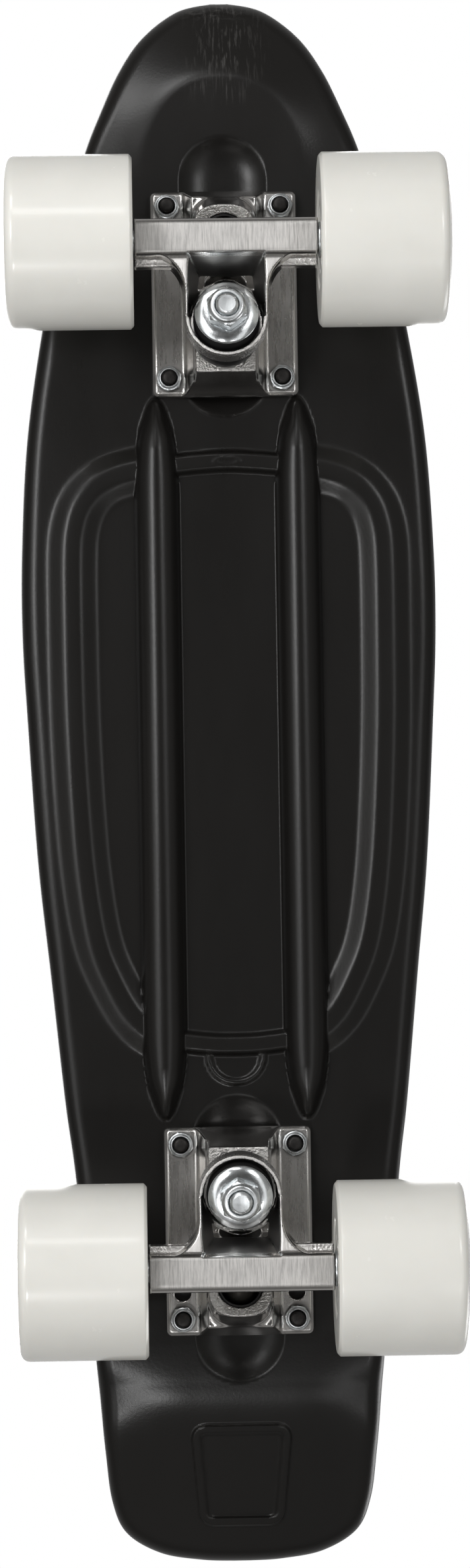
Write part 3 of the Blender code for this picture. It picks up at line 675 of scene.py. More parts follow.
def build_deck():
    ctrl = [(-3.0, 280.0)] + list(OUTLINE) + [(-3.0, -280.0)]
    fine = catmull(ctrl, 30)
    i0, i1 = 30, len(fine) - 30
    raw = resample(fine[i0:i1], 0.2)
    yy = raw[:, 1]
    close = ((yy > 104) & (yy < 116)) | ((yy > -112) & (yy < -87)) | ((yy > -270) & (yy < -225))
    weight = np.cumsum(np.where(close, 1 / 0.55, 1 / 1.05) * 0.2)
    n = int(weight[-1] - weight[0])
    pick = np.linspace(weight[0], weight[-1], n)
    path = np.stack([np.interp(pick, weight, raw[:, c]) for c in (0, 1)], 1)
    prev = np.concatenate([[[-path[0, 0], path[0, 1]]], path[:-1]])
    nxt = np.concatenate([path[1:], [[-path[-1, 0], path[-1, 1]]]])
    t = nxt - prev
    t /= np.linalg.norm(t, axis=1)[:, None]
    # outward normal: down the right-hand side the path runs nose to tail
    N = np.stack([-t[:, 1], t[:, 0]], 1)
    edge = [(6.0, 0.0)]
    edge += [(6.0 * (1 - sin(a)), 5.4 * (1 - cos(a))) for a in np.linspace(0, pi / 2, 11)[1:]]
    edge += [(0.0, 6.4), (0.0, 7.4)]
    edge += [(2.2 * (1 - cos(a)), 7.4 + 1.6 * sin(a)) for a in np.linspace(0, pi / 2, 7)[1:]]
    edge += [(4.5, 9.0)]
    K = len(edge)
    # columns: fixed places across the middle, so the ribs' edges run along them
    half = np.concatenate([np.arange(0.0, 15.2, 0.84), np.arange(15.4, 18.6, 0.42), np.arange(18.7, 31.2, 0.84),
                           np.arange(31.4, 34.8, 0.42)]) / 35.0
    outer_n = 34
    cols = 2 * (len(half) + outer_n)
    V = []
    count = 0

    def add(arr):
        nonlocal count
        V.append(arr)
        ids = np.arange(count, count + len(arr))
        count += len(arr)
        return ids

    # side rings, right then left
    ring = {}
    for s in (1, -1):
        rows = []
        for k, (d, h) in enumerate(edge):
            px = path[:, 0] - N[:, 0] * d
            py = path[:, 1] - N[:, 1] * d
            z = DECK_UNDER_Z + rise(px, py) + h
            rows.append(add(np.stack([s * px, py, z], 1)))
        ring[s] = rows
    # inner fields, bottom and top
    grids = {}
    for k in (0, K - 1):
        d, h = edge[k]
        px = path[:, 0] - N[:, 0] * d
        py = path[:, 1] - N[:, 1] * d
        a = np.minimum(35.0, 0.86 * px)
        tt = np.arange(0, outer_n) / outer_n
        right = np.concatenate([a[:, None] * half[1:][None, :], a[:, None] + (px - a)[:, None] * tt[None, :]], 1)
        right = np.concatenate([right[:, :len(half) - 1], right[:, len(half) - 1:]], 1)
        X = np.concatenate([right[:, ::-1], np.zeros((n, 1)), -right], 1)
        Y = np.repeat(py[:, None], cols - 1, 1)
        inside = px[:, None] - np.abs(X)
        if k == 0:
            Z = DECK_UNDER_Z + rise(X, Y) - under_features(X, Y)
        else:
            tip = np.minimum(280.0 - Y, Y + 280.0) - d
            dist = np.minimum(inside + d, np.maximum(tip, 0) + d)
            Z = DECK_UNDER_Z + DECK_THICK + rise(X, Y) - grip_drop(X, Y, dist)
            # seats for the bolt heads
            for yc in TRUCK_Y.values():
                for sx in (1, -1):
                    for sy in (1, -1):
                        bx, by = sx * BOLT_X, yc + sy * BOLT_Y
                        rx, ry = X - bx, Y - by
                        r = np.sqrt(rx * rx + ry * ry) + 1e-9
                        onrim = np.abs(r - 6.0) < 0.62
                        X = np.where(onrim, bx + rx / r * 6.0, X)
                        Y = np.where(onrim, by + ry / r * 6.0, Y)
                        Z = np.where(onrim, DECK_UNDER_Z + DECK_THICK - 0.5, Z)
                        inn = (r <= 5.38)
                        Z = np.where(inn, DECK_UNDER_Z + DECK_THICK - 1.3 - 0.95 * np.clip(5.4 - r, 0, 2.2), Z)
        ids = add(np.stack([X.ravel(), Y.ravel(), Z.ravel()], 1)).reshape(n, cols - 1)
        full = np.concatenate([ring[1][k][:, None], ids, ring[-1][k][:, None]], 1)
        grids[k] = full
    quads = []

    def grid_quads(g, flip):
        q = np.stack([g[:-1, :-1].ravel(), g[:-1, 1:].ravel(), g[1:, 1:].ravel(), g[1:, :-1].ravel()], 1)
        quads.append(q[:, ::-1] if flip else q)

    grid_quads(grids[0], False)
    grid_quads(grids[K - 1], True)
    for s in (1, -1):
        g = np.stack(ring[s], 1)
        grid_quads(g, s == 1)
    # close the tips
    for i, flip in ((0, True), (n - 1, False)):
        rows = [grids[0][i]]
        for k in range(1, K - 1):
            a, b = ring[1][k][i], ring[-1][k][i]
            d, h = edge[k]
            px = path[i, 0] - N[i, 0] * d
            py = path[i, 1] - N[i, 1] * d
            a0 = min(35.0, 0.86 * px)
            right = np.concatenate([a0 * half[1:], a0 + (px - a0) * np.arange(0, outer_n) / outer_n])
            X = np.concatenate([right[::-1], [0.0], -right])
            Y = np.full_like(X, py)
            ids = add(np.stack([X, Y, DECK_UNDER_Z + rise(X, Y) + h], 1))
            rows.append(np.concatenate([[a], ids, [b]]))
        rows.append(grids[K - 1][i])
        g = np.stack(rows, 0)
        grid_quads(g, flip)
    P = np.concatenate(V)
    F = np.concatenate(quads)
    c = P[F]
    vol = sum(np.einsum("ij,ij->i", c[:, 0], np.cross(c[:, j], c[:, j + 1])).sum() for j in (1, 2))
    if vol < 0:
        F = F[:, ::-1]
    return mesh_from("deck_shell", P, [F])


deck = place("deck_shell", build_deck(), M_DECK, "board", replaces=("deck",), sharp=62)


def build_pads():
    """Raised squares of the non-slip top."""
    ctrl = [(-3.0, 280.0)] + list(OUTLINE) + [(-3.0, -280.0)]
    fine = catmull(ctrl, 12)[12:-12]
    order = np.argsort(fine[:, 1])
    yy, ww = fine[order, 1], fine[order, 0]
    pitch, half, slope = 7.0, 2.75, 0.35
    V, F = [], []
    k = 0
    for j in range(-38, 39):
        y = j * pitch
        for i in range(-10, 11):
            x = (i + (0.5 if j % 2 else 0.0)) * pitch
            corner = abs(x) + half
            w = min(np.interp(y - half, yy, ww), np.interp(y + half, yy, ww))
            if corner > w - 9.5 or abs(y) > 280 - 12:
                continue
            # keep round ends clear too
            if any((x - sx * BOLT_X) ** 2 + (y - yc - sy * BOLT_Y) ** 2 < 10.2 ** 2
                   for yc in TRUCK_Y.values() for sx in (1, -1) for sy in (1, -1)):
                continue
            for hh, zz in ((half, -0.75), (half, -0.12), (half - slope, 0.0)):
                for a, b in ((-1, -1), (1, -1), (1, 1), (-1, 1)):
                    px, py = x + a * hh, y + b * hh
                    V.append((px, py, DECK_UNDER_Z + DECK_THICK + float(rise(px, py)) + zz))
            for lv in (0, 4):
                for e in range(4):
                    e1 = (e + 1) % 4
                    F.append((k + lv + e, k + lv + e1, k + lv + 4 + e1, k + lv + 4 + e))
            F.append((k + 8, k + 9, k + 10, k + 11))
            F.append((k + 3, k + 2, k + 1, k + 0))
            k += 12
    return mesh_from("deck_grip_pads", np.array(V), [np.array(F)])


pads = place("deck_grip_pads", build_pads(), M_DECK, "board", sharp=20)


# ================================================================ truck castings
def hanger_field(x, v, h):
    ax = np.abs(x)
    s = (v - KING_V0) * KS + h * KC
    dv = (v - KING_V0) * KC - h * KS
    rk = np.sqrt(x * x + dv * dv)
    ends = ax - HANGER_HALF
    bar = poly2(v, h, ((5.4, 39.6), (15.8, 38.6), (18.6, 40.8), (18.6, 49.3), (16.7, 51.2), (6.7, 51.2), (5.7, 49.9)), 0.9)
    shelf = poly2(v, h, ((2.2, 39.6), (9.0, 38.8), (9.0, 44.2), (2.7, 43.4)), 0.6)
    bar = smax(smin(bar, shelf, 1.6), ends, 0.5)
    top = edge2(v, h, (6.4, 49.4), (-15.0, 38.6))
    low = edge2(v, h, (-16.0, 27.4), (7.5, 38.9))
    t = np.clip((v + 6.0) / 12.0, 0, 1.05)
    depth = np.maximum(-top, 0)
    xo = 14.3 + t + 6.4 * t ** 3 + 0.22 * np.minimum(depth, 9.0) * np.clip(0.25 + t, 0, 1)
    block = smaxs(0.7, ax - xo, top, low, v - 6.0, -dv)
    ring = smaxs(0.45, rk - 14.2 - 0.045 * (RING_S1 - s), 0.88 * (rk - 14.7 + 0.55 * (32.5 - s)), s - RING_S1, RING_S0 - s)
    body = smin(bar, block, 1.3)
    body = smin(body, ring, 0.7)
    # nose into the pivot cup
    t = (v - PIVOT_V) * STEER[0] + (h - PIVOT_H) * STEER[1]
    q = -(v - PIVOT_V) * STEER[1] + (h - PIVOT_H) * STEER[0]
    rho = np.sqrt(x * x + q * q)
    nose = smaxs(0.6, rho - (3.9 + np.clip(t - 3.2, 0, 20) * 0.19), t - 24.0, 1.5 - t)
    ball = np.sqrt(x * x + q * q + t * t) - 5.75
    gus = smaxs(0.8, ax - 4.2 - 0.12 * np.maximum(h - 25, 0), poly2(v, h, ((3.0, 24.0), (9.0, 20.2), (15.5, 39.5), (2.0, 39.5)), 0.6))
    body = smin(body, gus, 2.5)
    body = smin(body, nose, 2.2)
    body = smin(body, ball, 0.7)
    # open pocket between the arms, its two slanted corners, and the cup
    facet = 0.883 * (ax - 13.4) + 0.291 * (v - 5.0) - 0.368 * (h - 49.6)
    back = edge2(v, h, (-0.7, 33.0), (6.3, 50.6))
    pocket = smaxs(0.5, facet, ax - 13.3, back, 33.6 - s, -dv - 0.2)
    cup = smaxs(0.3, rk - 12.75, CUP_S - s)
    body = smax(body, -pocket, 0.7)
    body = smax(body, -cup, 0.5)
    hole = np.maximum(rk - 6.0, s - 35)
    body = smax(body, -hole, 0.3)
    bore = np.sqrt((v - AXLE_V) ** 2 + (h - AXLE_H) ** 2) - (AXLE_R + 0.12)
    return smax(body, -bore, 0.3)


def base_field(x, v, h):
    ax = np.abs(x)
    s = (v - KING_V0) * KS + h * KC
    dv = (v - KING_V0) * KC - h * KS
    rk = np.sqrt(x * x + dv * dv)
    qx, qv = ax - 23.8, np.abs(v) - 34.4
    flat = np.sqrt(np.maximum(qx, 0) ** 2 + np.maximum(qv, 0) ** 2) + np.minimum(np.maximum(qx, qv), 0) - 2.2
    flange = smaxs(0.35, flat, h - 4.3, (flat + h - 4.3 + 1.35) * 0.7071)
    slope = edge2(v, h, (-29.7, 16.6), (-36.3, 4.0))
    mid = smaxs(0.6, ax - (14.25 - (h - 4.3) * 0.40), h - 11.6, -36.0 - v)
    seat = smaxs(0.45, ax - 10.5 - 0.09 * np.maximum(15 - h, 0), s - SEAT_S, dv - 12.2)
    tn = -(v - PIVOT_V) * sin(PIVOT_TILT) + (h - PIVOT_H) * cos(PIVOT_TILT)
    qn = (v - PIVOT_V) * cos(PIVOT_TILT) + (h - PIVOT_H) * sin(PIVOT_TILT)
    rn = np.sqrt(x * x + qn * qn)
    rs = (ax ** 2.7 + np.abs(qn) ** 2.7) ** (1 / 2.7)
    fall = edge2(v, h, (36.3, 4.0), (29.7, 19.9))
    house = smaxs(0.7, rs - 11.1 - 0.06 * np.maximum(2 - tn, 0), tn - 2.0)
    upper = smin(mid, seat, 0.8)
    upper = smin(upper, house, 1.8)
    upper = smax(upper, slope, 0.5)
    upper = smax(upper, fall, 0.7)
    body = smin(flange, upper, 1.2)
    body = smax(body, flat, 0.35)
    body = smax(body, -smaxs(0.3, rn - 7.8, -7.5 - tn), 0.45)
    head = smaxs(0.2, rk - 7.4, s - 7.6)
    shank = rk - 4.35
    body = smax(body, -head, 0.3)
    body = smax(body, -shank, 0.3)
    for bx, bv in ((BOLT_X, BOLT_Y), (BOLT_X, -BOLT_Y), (BOLT_X, 21.5)):
        hole = np.sqrt((ax - bx) ** 2 + (v - bv) ** 2) - 2.85
        body = smax(body, -hole, 0.3)
    return smax(body, 0.3 - h, 0.25)


def truck_mesh(name, field, lo, hi, step, mask):
    P, F, N = nets(name, field, lo, hi, step)
    # x, v, h to a frame with h pointing down: x, v, -h keeps right-handedness by swapping the order
    Q = np.stack([P[:, 0], P[:, 1], -P[:, 2]], 1)
    M = np.stack([N[:, 0], N[:, 1], -N[:, 2]], 1)
    me = mesh_from(name, Q, [F[:, ::-1]], M)
    for key, val in mask(P, N).items():
        at = me.attributes.new(key, "FLOAT", "POINT")
        at.data.foreach_set("value", np.clip(val, 0, 1).astype(np.float32))
    return me


def hanger_mask(P, N):
    x, v, h = P.T
    s = (v - KING_V0) * KS + h * KC
    dv = (v - KING_V0) * KC - h * KS
    pad = np.exp(-((s - 33.6) / 0.5) ** 2) * (dv > 6)
    rim = np.exp(-((s - RING_S1) / 0.5) ** 2) * (np.hypot(x, dv) > 12.5) * (dv < 2) * 0.6
    shelf = np.exp(-((h - 43.7) / 0.8) ** 2) * (v < 6) * (np.abs(x) > 15) * 0.5
    wall = (np.hypot(x, dv) > 14.1) * (s < RING_S1 - 0.8) * (s > RING_S0 - 0.5) * (dv < 2) * 0.9
    face = smooth01((h - 50.6) / 0.5) * (N[:, 2] > 0.8)
    arms = smooth01((N[:, 2] - 0.75) / 0.1) * (v < 6) * (h > 37) * (np.abs(x) < 24) * 0.4
    # painted shade: the hanger's colour is darkened on the pivot nose and ball near the base plate, and on the pocket's
    # steep walls between the arms
    painted_shade = smooth01((26.0 - h) / 6.0)
    painted_shade = painted_shade + 0.6 * (np.abs(x) < 13.3) * (v > -9) * (v < 6.6) * (h > 30) * smooth01((50.5 - h) / 2.5) * smooth01((0.55 - N[:, 2]) / 0.2)
    return {"cast": pad + rim + shelf + wall, "grain": face + arms, "painted_shade": painted_shade}


def base_mask(P, N):
    x, v, h = P.T
    s = (v - KING_V0) * KS + h * KC
    tn = -(v - PIVOT_V) * sin(PIVOT_TILT) + (h - PIVOT_H) * cos(PIVOT_TILT)
    face = np.exp(-((tn - 2.0) / 0.6) ** 2) * (h > 6)
    seat = np.exp(-((s - SEAT_S) / 0.5) ** 2) * (v < 0)
    flat = smooth01((N[:, 2] - 0.9) / 0.08) * (h < 4.6) * 0.3
    # painted shadow: the plate's colour is darkened in a ring round each nut
    rb = np.sqrt((np.abs(x) - BOLT_X) ** 2 + (np.abs(v) - BOLT_Y) ** 2)
    painted_shade = 0.85 * np.exp(-(np.maximum(rb - 4.3, 0) / 0.75) ** 2) * (h > 1.0) * (h < 6.5)
    return {"cast": face + seat, "grain": flat, "painted_shade": painted_shade}


STEP = 0.5
hanger_me = truck_mesh("truck_hanger", hanger_field, (-33.0, -33.5, 3.5), (33.0, 28.0, 53.0), STEP, hanger_mask)
base_me = truck_mesh("truck_base", base_field, (-27.2, -38.0, -0.9), (27.2, 38.0, 22.5), STEP, base_mask)
# ---------------------------------------------------------------- shared small meshes
nut5 = turn("lock_nut_m5", [(0.0, 2.7), (0.0, 3.75), (0.25, 4.1, 8.0), (0.55, 4.62, 8.0), (3.0, 4.62, 8.0), (3.12, 4.48, 8.0),
                            (3.28, 4.2), (3.42, 3.9), (3.40, 3.72), (3.5, 3.62), (4.3, 3.58)] + arc(4.3, 3.58, 4.8, 3.25, 5, lead="z")
            + [(4.8, 3.0), (4.6, 2.9), (3.9, 2.86), (3.7, 2.6), (2.0, 2.6)], 72, closed=True)
bolt5 = turn("countersunk_bolt_m5",
             [(-6.7, 0.0), (-6.7, 1.55, "hex"), (-8.45, 1.6, "hex"), (-8.65, 1.75, "hex"), (-8.65, 4.6), (-8.5, 4.85), (-8.1, 4.9), (-5.8, 2.5)]
             + [(z, 2.5) for z in np.arange(-5.6, 11.01, 0.16)] + [(11.3, 2.42), (11.7, 2.05), (11.8, 1.7), (11.8, 0.0)],
             36, helix=(-2.0, 11.1, 0.8, 0.34))
king = turn("kingpin_m8",
            [(1.9, 0.0), (1.9, 5.6), (2.3, 6.6, 13.0), (2.9, 7.3, 13.0), (6.6, 7.3, 13.0), (7.0, 6.9, 13.0), (7.0, 4.0)]
            + [(z, 4.0) for z in np.arange(7.3, 30.0, 2.0)] + [(z, 4.0) for z in np.arange(30.0, KING_END_S - 0.9, 0.22)]
            + [(KING_END_S - 0.8, 3.85), (KING_END_S - 0.25, 3.35), (KING_END_S, 2.9), (KING_END_S - 0.05, 1.6), (KING_END_S - 0.12, 0.0)],
            44, helix=(36.0, KING_END_S - 1.0, 1.25, 0.5))
nut8 = turn("lock_nut_m8",
            [(0.0, 4.3), (0.0, 6.1), (0.25, 6.7, 13.0), (0.6, 7.3, 13.0), (1.0, 7.5, 13.0), (4.6, 7.5, 13.0), (5.0, 7.3, 13.0), (5.4, 6.9, 13.0), (5.6, 6.45), (5.75, 6.25), (6.1, 6.1)]
            + arc(6.1, 6.1, 7.0, 5.0, 6, lead="z") + [(7.0, 4.5), (6.8, 4.2), (3.0, 4.1)], 84, closed=True)
nut8_thin = turn("axle_nut_m8",
                 [(0.0, 4.3), (0.0, 6.1), (0.25, 6.7, 13.0), (0.6, 7.3, 13.0), (0.9, 7.5, 13.0), (3.9, 7.5, 13.0), (4.3, 7.2, 13.0), (4.6, 6.8, 13.0), (4.75, 6.4), (5.0, 6.2), (5.3, 6.05)]
                 + arc(5.3, 6.05, 6.15, 5.0, 6, lead="z") + [(6.15, 4.5), (6.0, 4.2), (3.0, 4.1)], 84, closed=True)
W = WASHER_S
cup_washer = turn("cup_washer",
                  [(W + 0.1, 4.2), (W + 0.1, 9.2), (W - 0.1, 9.9), (W - 0.6, 10.3), (W - 1.3, 10.45), (W - 1.42, 10.7), (W - 1.35, 10.95), (W - 1.0, 11.1)]
                  + [(W - 0.55, 11.12), (W - 0.2, 11.08), (W + 0.1, 10.85)]
                  + [(W + 1.42 - 1.15 * ((r - 6.2) / 4.4) ** 2.6, r) for r in np.linspace(10.6, 6.2, 14)] + [(W + 1.42, 5.0), (W + 1.35, 4.5), (W + 0.9, 4.2)],
                  96, closed=True)
b_in = 4.6
bush_board = turn("bushing_board",
                  [(SEAT_S + 0.3, b_in), (SEAT_S + 0.3, 10.5), (SEAT_S + 0.7, 11.1)]
                  + [(SEAT_S + 0.7 + (RING_S0 - SEAT_S - 1.4) * i / 10, 11.1 + 0.7 * sin(pi * i / 10)) for i in range(1, 10)]
                  + [(RING_S0 - 0.7, 11.1), (RING_S0 - 0.3, 10.5), (RING_S0 - 0.3, b_in)]
                  + [(RING_S0 - 0.3 - (RING_S0 - SEAT_S - 0.6) * i / 6, b_in) for i in range(1, 6)], 72, closed=True)
bush_road = turn("bushing_road",
                 [(CUP_S + 0.3, b_in), (CUP_S + 0.3, 11.0), (CUP_S + 0.8, 11.45), (CUP_S + 3.0, 11.6), (CUP_S + 5.0, 11.6)]
                 + [(CUP_S + 5.0 + 5.6 * i / 6, 11.6 - 1.9 * (i / 6) ** 1.5) for i in range(1, 7)]
                 + [(W - 0.45, 9.4), (W - 0.3, 8.9), (W - 0.3, b_in)] + [(W - 0.3 - 10.9 * i / 6, b_in) for i in range(1, 6)], 72, closed=True)
cup_rows = [(-7.2, 0.0), (-7.2, 7.2), (-6.8, 7.6), (1.6, 7.65), (2.0, 7.4), (2.05, 7.0), (1.6, 6.7)]
cup_rows += [(6.35 * sin(a), 6.35 * cos(a)) for a in np.linspace(0, -pi / 2, 12)[0:-1]] + [(-6.35, 0.0)]
pivot_cup = turn("pivot_cup", cup_rows, 60)
AX = 76.6
axle_rows = [(-AX, 0.0), (-AX, 2.9), (-AX + 0.6, 3.7)]
axle_rows += [(z, 4.0) for z in np.arange(-AX + 0.8, -AX + 9.0, 0.22)] + [(-AX + 9.2, 4.0), (-32, 4.0), (0, 4.0), (32, 4.0), (AX - 9.2, 4.0)]
axle_rows += [(z, 4.0) for z in np.arange(AX - 9.0, AX - 0.79, 0.22)] + [(AX - 0.6, 3.7), (AX, 2.9), (AX, 0.0)]
axle_me = turn("axle_rod", axle_rows, 40, helix=None)

# wheel: closed profile about its own axis, x measured from the middle of the board
x0, x1 = WHEEL_IN, WHEEL_IN + WHEEL_W
pi_, po_ = x0 + 1.0 + BEARING_W + 0.3, x1 - 8.0 - BEARING_W - 0.3
PR = BEARING_R + 0.15


def fillet(points, r, n=4):
    """Round the corners of an open profile."""
    out = [tuple(points[0])]
    for i in range(1, len(points) - 1):
        p = np.array(points[i][:2], float)
        a = np.array(points[i - 1][:2], float) - p
        b = np.array(points[i + 1][:2], float) - p
        la, lb = np.linalg.norm(a), np.linalg.norm(b)
        rr = min(r[i] if isinstance(r, (list, tuple)) else r, la * 0.45, lb * 0.45)
        for j in range(n + 1):
            t = j / n
            q = (p + a / la * rr) * (1 - t) ** 2 + p * 2 * t * (1 - t) + (p + b / lb * rr) * t * t
            out.append((float(q[0]), float(q[1])))
    out.append(tuple(points[-1]))
    return out


tyre_rows = [(x0 + 0.35, 17.0)] + fillet([(x0 + 0.35, 17.0), (x0, 17.8), (x0, 28.75), (x0 + 1.05, TYRE_R), (x1 - 4.6, TYRE_R)], 0.35, 3)[1:-1]
tyre_rows += [(x, TYRE_R) for x in np.linspace(x0 + 3.0, x1 - 5.0, 8)]
tyre_rows += [(x1 - 4.6 + 3.3 * sin(a), TYRE_R - 3.2 * (1 - cos(a))) for a in np.linspace(0, pi / 2, 9)]
tyre_rows += [(x1 - 1.3 + (TYRE_OUT - x1 + 1.3) * sin(t * pi / 2), 26.8 - 9.3 * t) for t in np.linspace(0, 1, 9)[1:]]
tyre_rows += [(x1 - 0.15, 16.9), (x1 - 0.6, 16.4), (x1 - 6.0, 16.0), (x0 + 6.0, 16.0)]
tyre_me = turn("tyre", tyre_rows, 160, closed=True)
core_rows = fillet([(x0 + 0.5, 12.0), (x0 + 0.5, 15.9), (x0 + 5.0, 15.95), (x1 - 5.0, 15.95), (x1 - 0.55, 16.25), (x1 - 0.5, 14.6),
                    (x1 - 8.0, 11.9), (x1 - 8.0, PR), (po_, PR), (po_, 8.0), (pi_, 8.0), (pi_, PR), (x0 + 0.9, PR), (x0 + 0.5, 12.0)], 0.5, 3)[:-1]
core_me = turn("wheel_core", core_rows, 96, closed=True)


def bearing_meshes(a0):
    """Outer race, shield and inner race of one ball bearing starting at a0."""
    b = BEARING_W
    outer = turn("bearing_outer_race", fillet([(a0 + 0.5, 9.3), (a0, 9.3), (a0, 11.0), (a0 + b, 11.0), (a0 + b, 9.3), (a0 + b - 0.5, 9.3), (a0 + 0.5, 9.3)], 0.3, 3)[:-1], 64, closed=True)
    shield = turn("bearing_shield", [(a0 + 0.35, 6.25), (a0 + 0.3, 6.6), (a0 + 0.55, 7.2), (a0 + 0.55, 8.6), (a0 + 0.25, 9.0), (a0 + 0.3, 9.28),
                                     (a0 + b - 0.3, 9.28), (a0 + b - 0.25, 9.0), (a0 + b - 0.55, 8.6), (a0 + b - 0.55, 7.2), (a0 + b - 0.3, 6.6), (a0 + b - 0.35, 6.25)], 64, closed=True)
    inner = turn("bearing_inner_race", fillet([(a0, 4.15), (a0, 6.0), (a0 + b, 6.0), (a0 + b, 4.15), (a0, 4.15)], 0.25, 3)[:-1], 48, closed=True)
    return outer, shield, inner


bear_in = bearing_meshes(x0 + 1.0)
bear_out = bearing_meshes(x1 - 8.0 - BEARING_W)
wash_in = turn("speed_washer_inner", fillet([(HANGER_HALF + 0.3, 4.2), (HANGER_HALF + 0.3, 6.2), (x0 + 0.7, 6.2), (x0 + 0.7, 4.2), (HANGER_HALF + 0.3, 4.2)], 0.2, 2)[:-1], 48, closed=True)
o1 = x1 - 8.0 + 0.3
wash_out = turn("speed_washer_outer", fillet([(o1, 4.2), (o1, 6.2), (o1 + 0.9, 6.2), (o1 + 0.9, 4.2), (o1, 4.2)], 0.2, 2)[:-1], 48, closed=True)
o2 = o1 + 1.2

for name in ("front", "rear"):
    d = 1.0 if name == "front" else -1.0
    yc = TRUCK_Y[name]
    hang_body = name + "_truck"

    def Wp(x, v, h):
        return Vector((d * x, yc + d * v, DECK_UNDER_Z - h))

    def Dp(x, v, h):
        return Vector((d * x, d * v, -h))

    casting = Matrix.Translation(Vector((0, yc, DECK_UNDER_Z)) * MM) @ Matrix.Rotation(0 if d > 0 else pi, 4, "Z")
    place(name + "_truck_hanger", hanger_me, M_CAST, hang_body, casting, (name + "_hanger",))
    place(name + "_truck_base", base_me, M_CAST, "board", casting, (name + "_baseplate",))
    kaxis = Dp(0, KS, KC)
    korg = Wp(0, KING_V0, 0)
    km = axis_matrix(korg, kaxis)
    place(name + "_kingpin_bolt", king, M_ZINC, "board", km, (name + "_kingpin",), 30)
    place(name + "_kingpin_lock_nut", nut8, M_ZINC, "board", axis_matrix(korg + kaxis * NUT_S, kaxis, radians(8)), (name + "_kingpin_nut",), 30)
    place(name + "_cup_washer_disc", cup_washer, M_WASHER, "board", km, (name + "_cup_washer",), 40)
    paxis = Dp(0, -sin(PIVOT_TILT), cos(PIVOT_TILT))
    place(name + "_pivot_cup_liner", pivot_cup, M_RUBBER, "board", axis_matrix(Wp(0, PIVOT_V, PIVOT_H), paxis), (name + "_pivot_cup",), 50)
    # bushings sit between the board and the hanger
    for part, me, s_board, s_hang in (("bushing_board", bush_board, SEAT_S, RING_S0), ("bushing_road", bush_road, WASHER_S, CUP_S)):
        ob = bpy.data.objects.new("%s_%s_ring" % (name, part), me.copy())
        ob.data.materials.append(M_RUBBER)
        ob.data.transform(km)
        ob.data.set_sharp_from_angle(angle=radians(50))
        scene.collection.objects.link(ob)
        bpy.context.view_layer.update()
        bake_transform(ob)
        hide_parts("%s_%s" % (name, part))
    axle_c = Wp(0, AXLE_V, AXLE_H)
    place(name + "_axle_rod", axle_me, M_STEEL, hang_body, axis_matrix(axle_c, (1, 0, 0)), (name + "_axle",), 40)
    for side, sx in (("right", 1.0), ("left", -1.0)):
        w = "%s_%s" % (name, side)
        m = axis_matrix(axle_c, (sx, 0, 0))
        place(w + "_tyre", tyre_me, M_WHEEL, w, m, (w + "_wheel",), 60)
        place(w + "_core", core_me, M_CORE, w, m, (w + "_wheel",), 50)
        for where, (outer, shield, inner) in (("inner", bear_in), ("outer", bear_out)):
            n = "%s_bearing_%s" % (w, where)
            place(n + "_race", outer, M_STEEL, w, m, (n,), 40)
            place(n + "_shield", shield, M_DARK, w, m, (n,), 50)
            place(n + "_inner_race", inner, M_STEEL, hang_body, m, (n,), 40)
        place(w + "_speed_washer_inner", wash_in, M_ZINC, hang_body, m, (w + "_washer_inner",), 40)
        place(w + "_speed_washer_outer", wash_out, M_ZINC, hang_body, m, (w + "_washer_outer",), 40)
        place(w + "_axle_lock_nut", nut8_thin, M_ZINC, hang_body, axis_matrix(axle_c + Vector((sx * o2, 0, 0)), (sx, 0, 0), radians(17)), (w + "_axle_nut",), 30)
    spins = (12, 41, 27, 3)
    for i, (x, v) in enumerate([(a * BOLT_X, b * BOLT_Y) for a in (1, -1) for b in (1, -1)], 1):
        place("%s_deck_bolt_%d" % (name, i), bolt5, M_DARK, "board", axis_matrix(Wp(x, v, 0), (0, 0, -1), radians(spins[i - 1])), ("%s_bolt_%d" % (name, i),), 35)
        place("%s_lock_nut_%d" % (name, i), nut5, M_ZINC, "board", axis_matrix(Wp(x, v, 4.6), (0, 0, -1), radians(spins[i - 1] + 11)), ("%s_nut_%d" % (name, i),), 30)

# ================================================================ stage, light and camera
floor_me = mesh_from("studio_floor", np.array([(-9000, -9000, 0), (9000, -9000, 0), (9000, 9000, 0), (-9000, 9000, 0)], float), [np.array([[0, 1, 2, 3]])])
floor = bpy.data.objects.new("studio_floor", floor_me)
scene.collection.objects.link(floor)
fm, nt, b = new_mat("pale_floor")
nt.links.new(ramp(nt, noise(nt, coords(nt), 3.0, 3), ((0.3, (0.80, 0.80, 0.80)), (0.7, (0.83, 0.83, 0.83)))), b.inputs["Base Color"])
set_const(b, Roughness=0.7)
geo = nt.nodes.new("ShaderNodeNewGeometry")
clear = nt.nodes.new("ShaderNodeBsdfTransparent")
mixs = nt.nodes.new("ShaderNodeMixShader")
nt.links.new(geo.outputs["Backfacing"], mixs.inputs[0])
nt.links.new(b.outputs[0], mixs.inputs[1])
nt.links.new(clear.outputs[0], mixs.inputs[2])
nt.links.new(mixs.outputs[0], nt.nodes["Material Output"].inputs["Surface"])
floor_me.materials.append(fm)
floor.visible_diffuse = False
floor.visible_glossy = False
floor.visible_transmission = False
floor.visible_shadow = False

world = bpy.data.worlds.new("studio")
scene.world = world
world.use_nodes = True
wt = world.node_tree
bg = wt.nodes["Background"]
lp = wt.nodes.new("ShaderNodeLightPath")
tc = wt.nodes.new("ShaderNodeTexCoord")
sepw = wt.nodes.new("ShaderNodeSeparateXYZ")
wt.links.new(tc.outputs["Generated"], sepw.inputs[0])
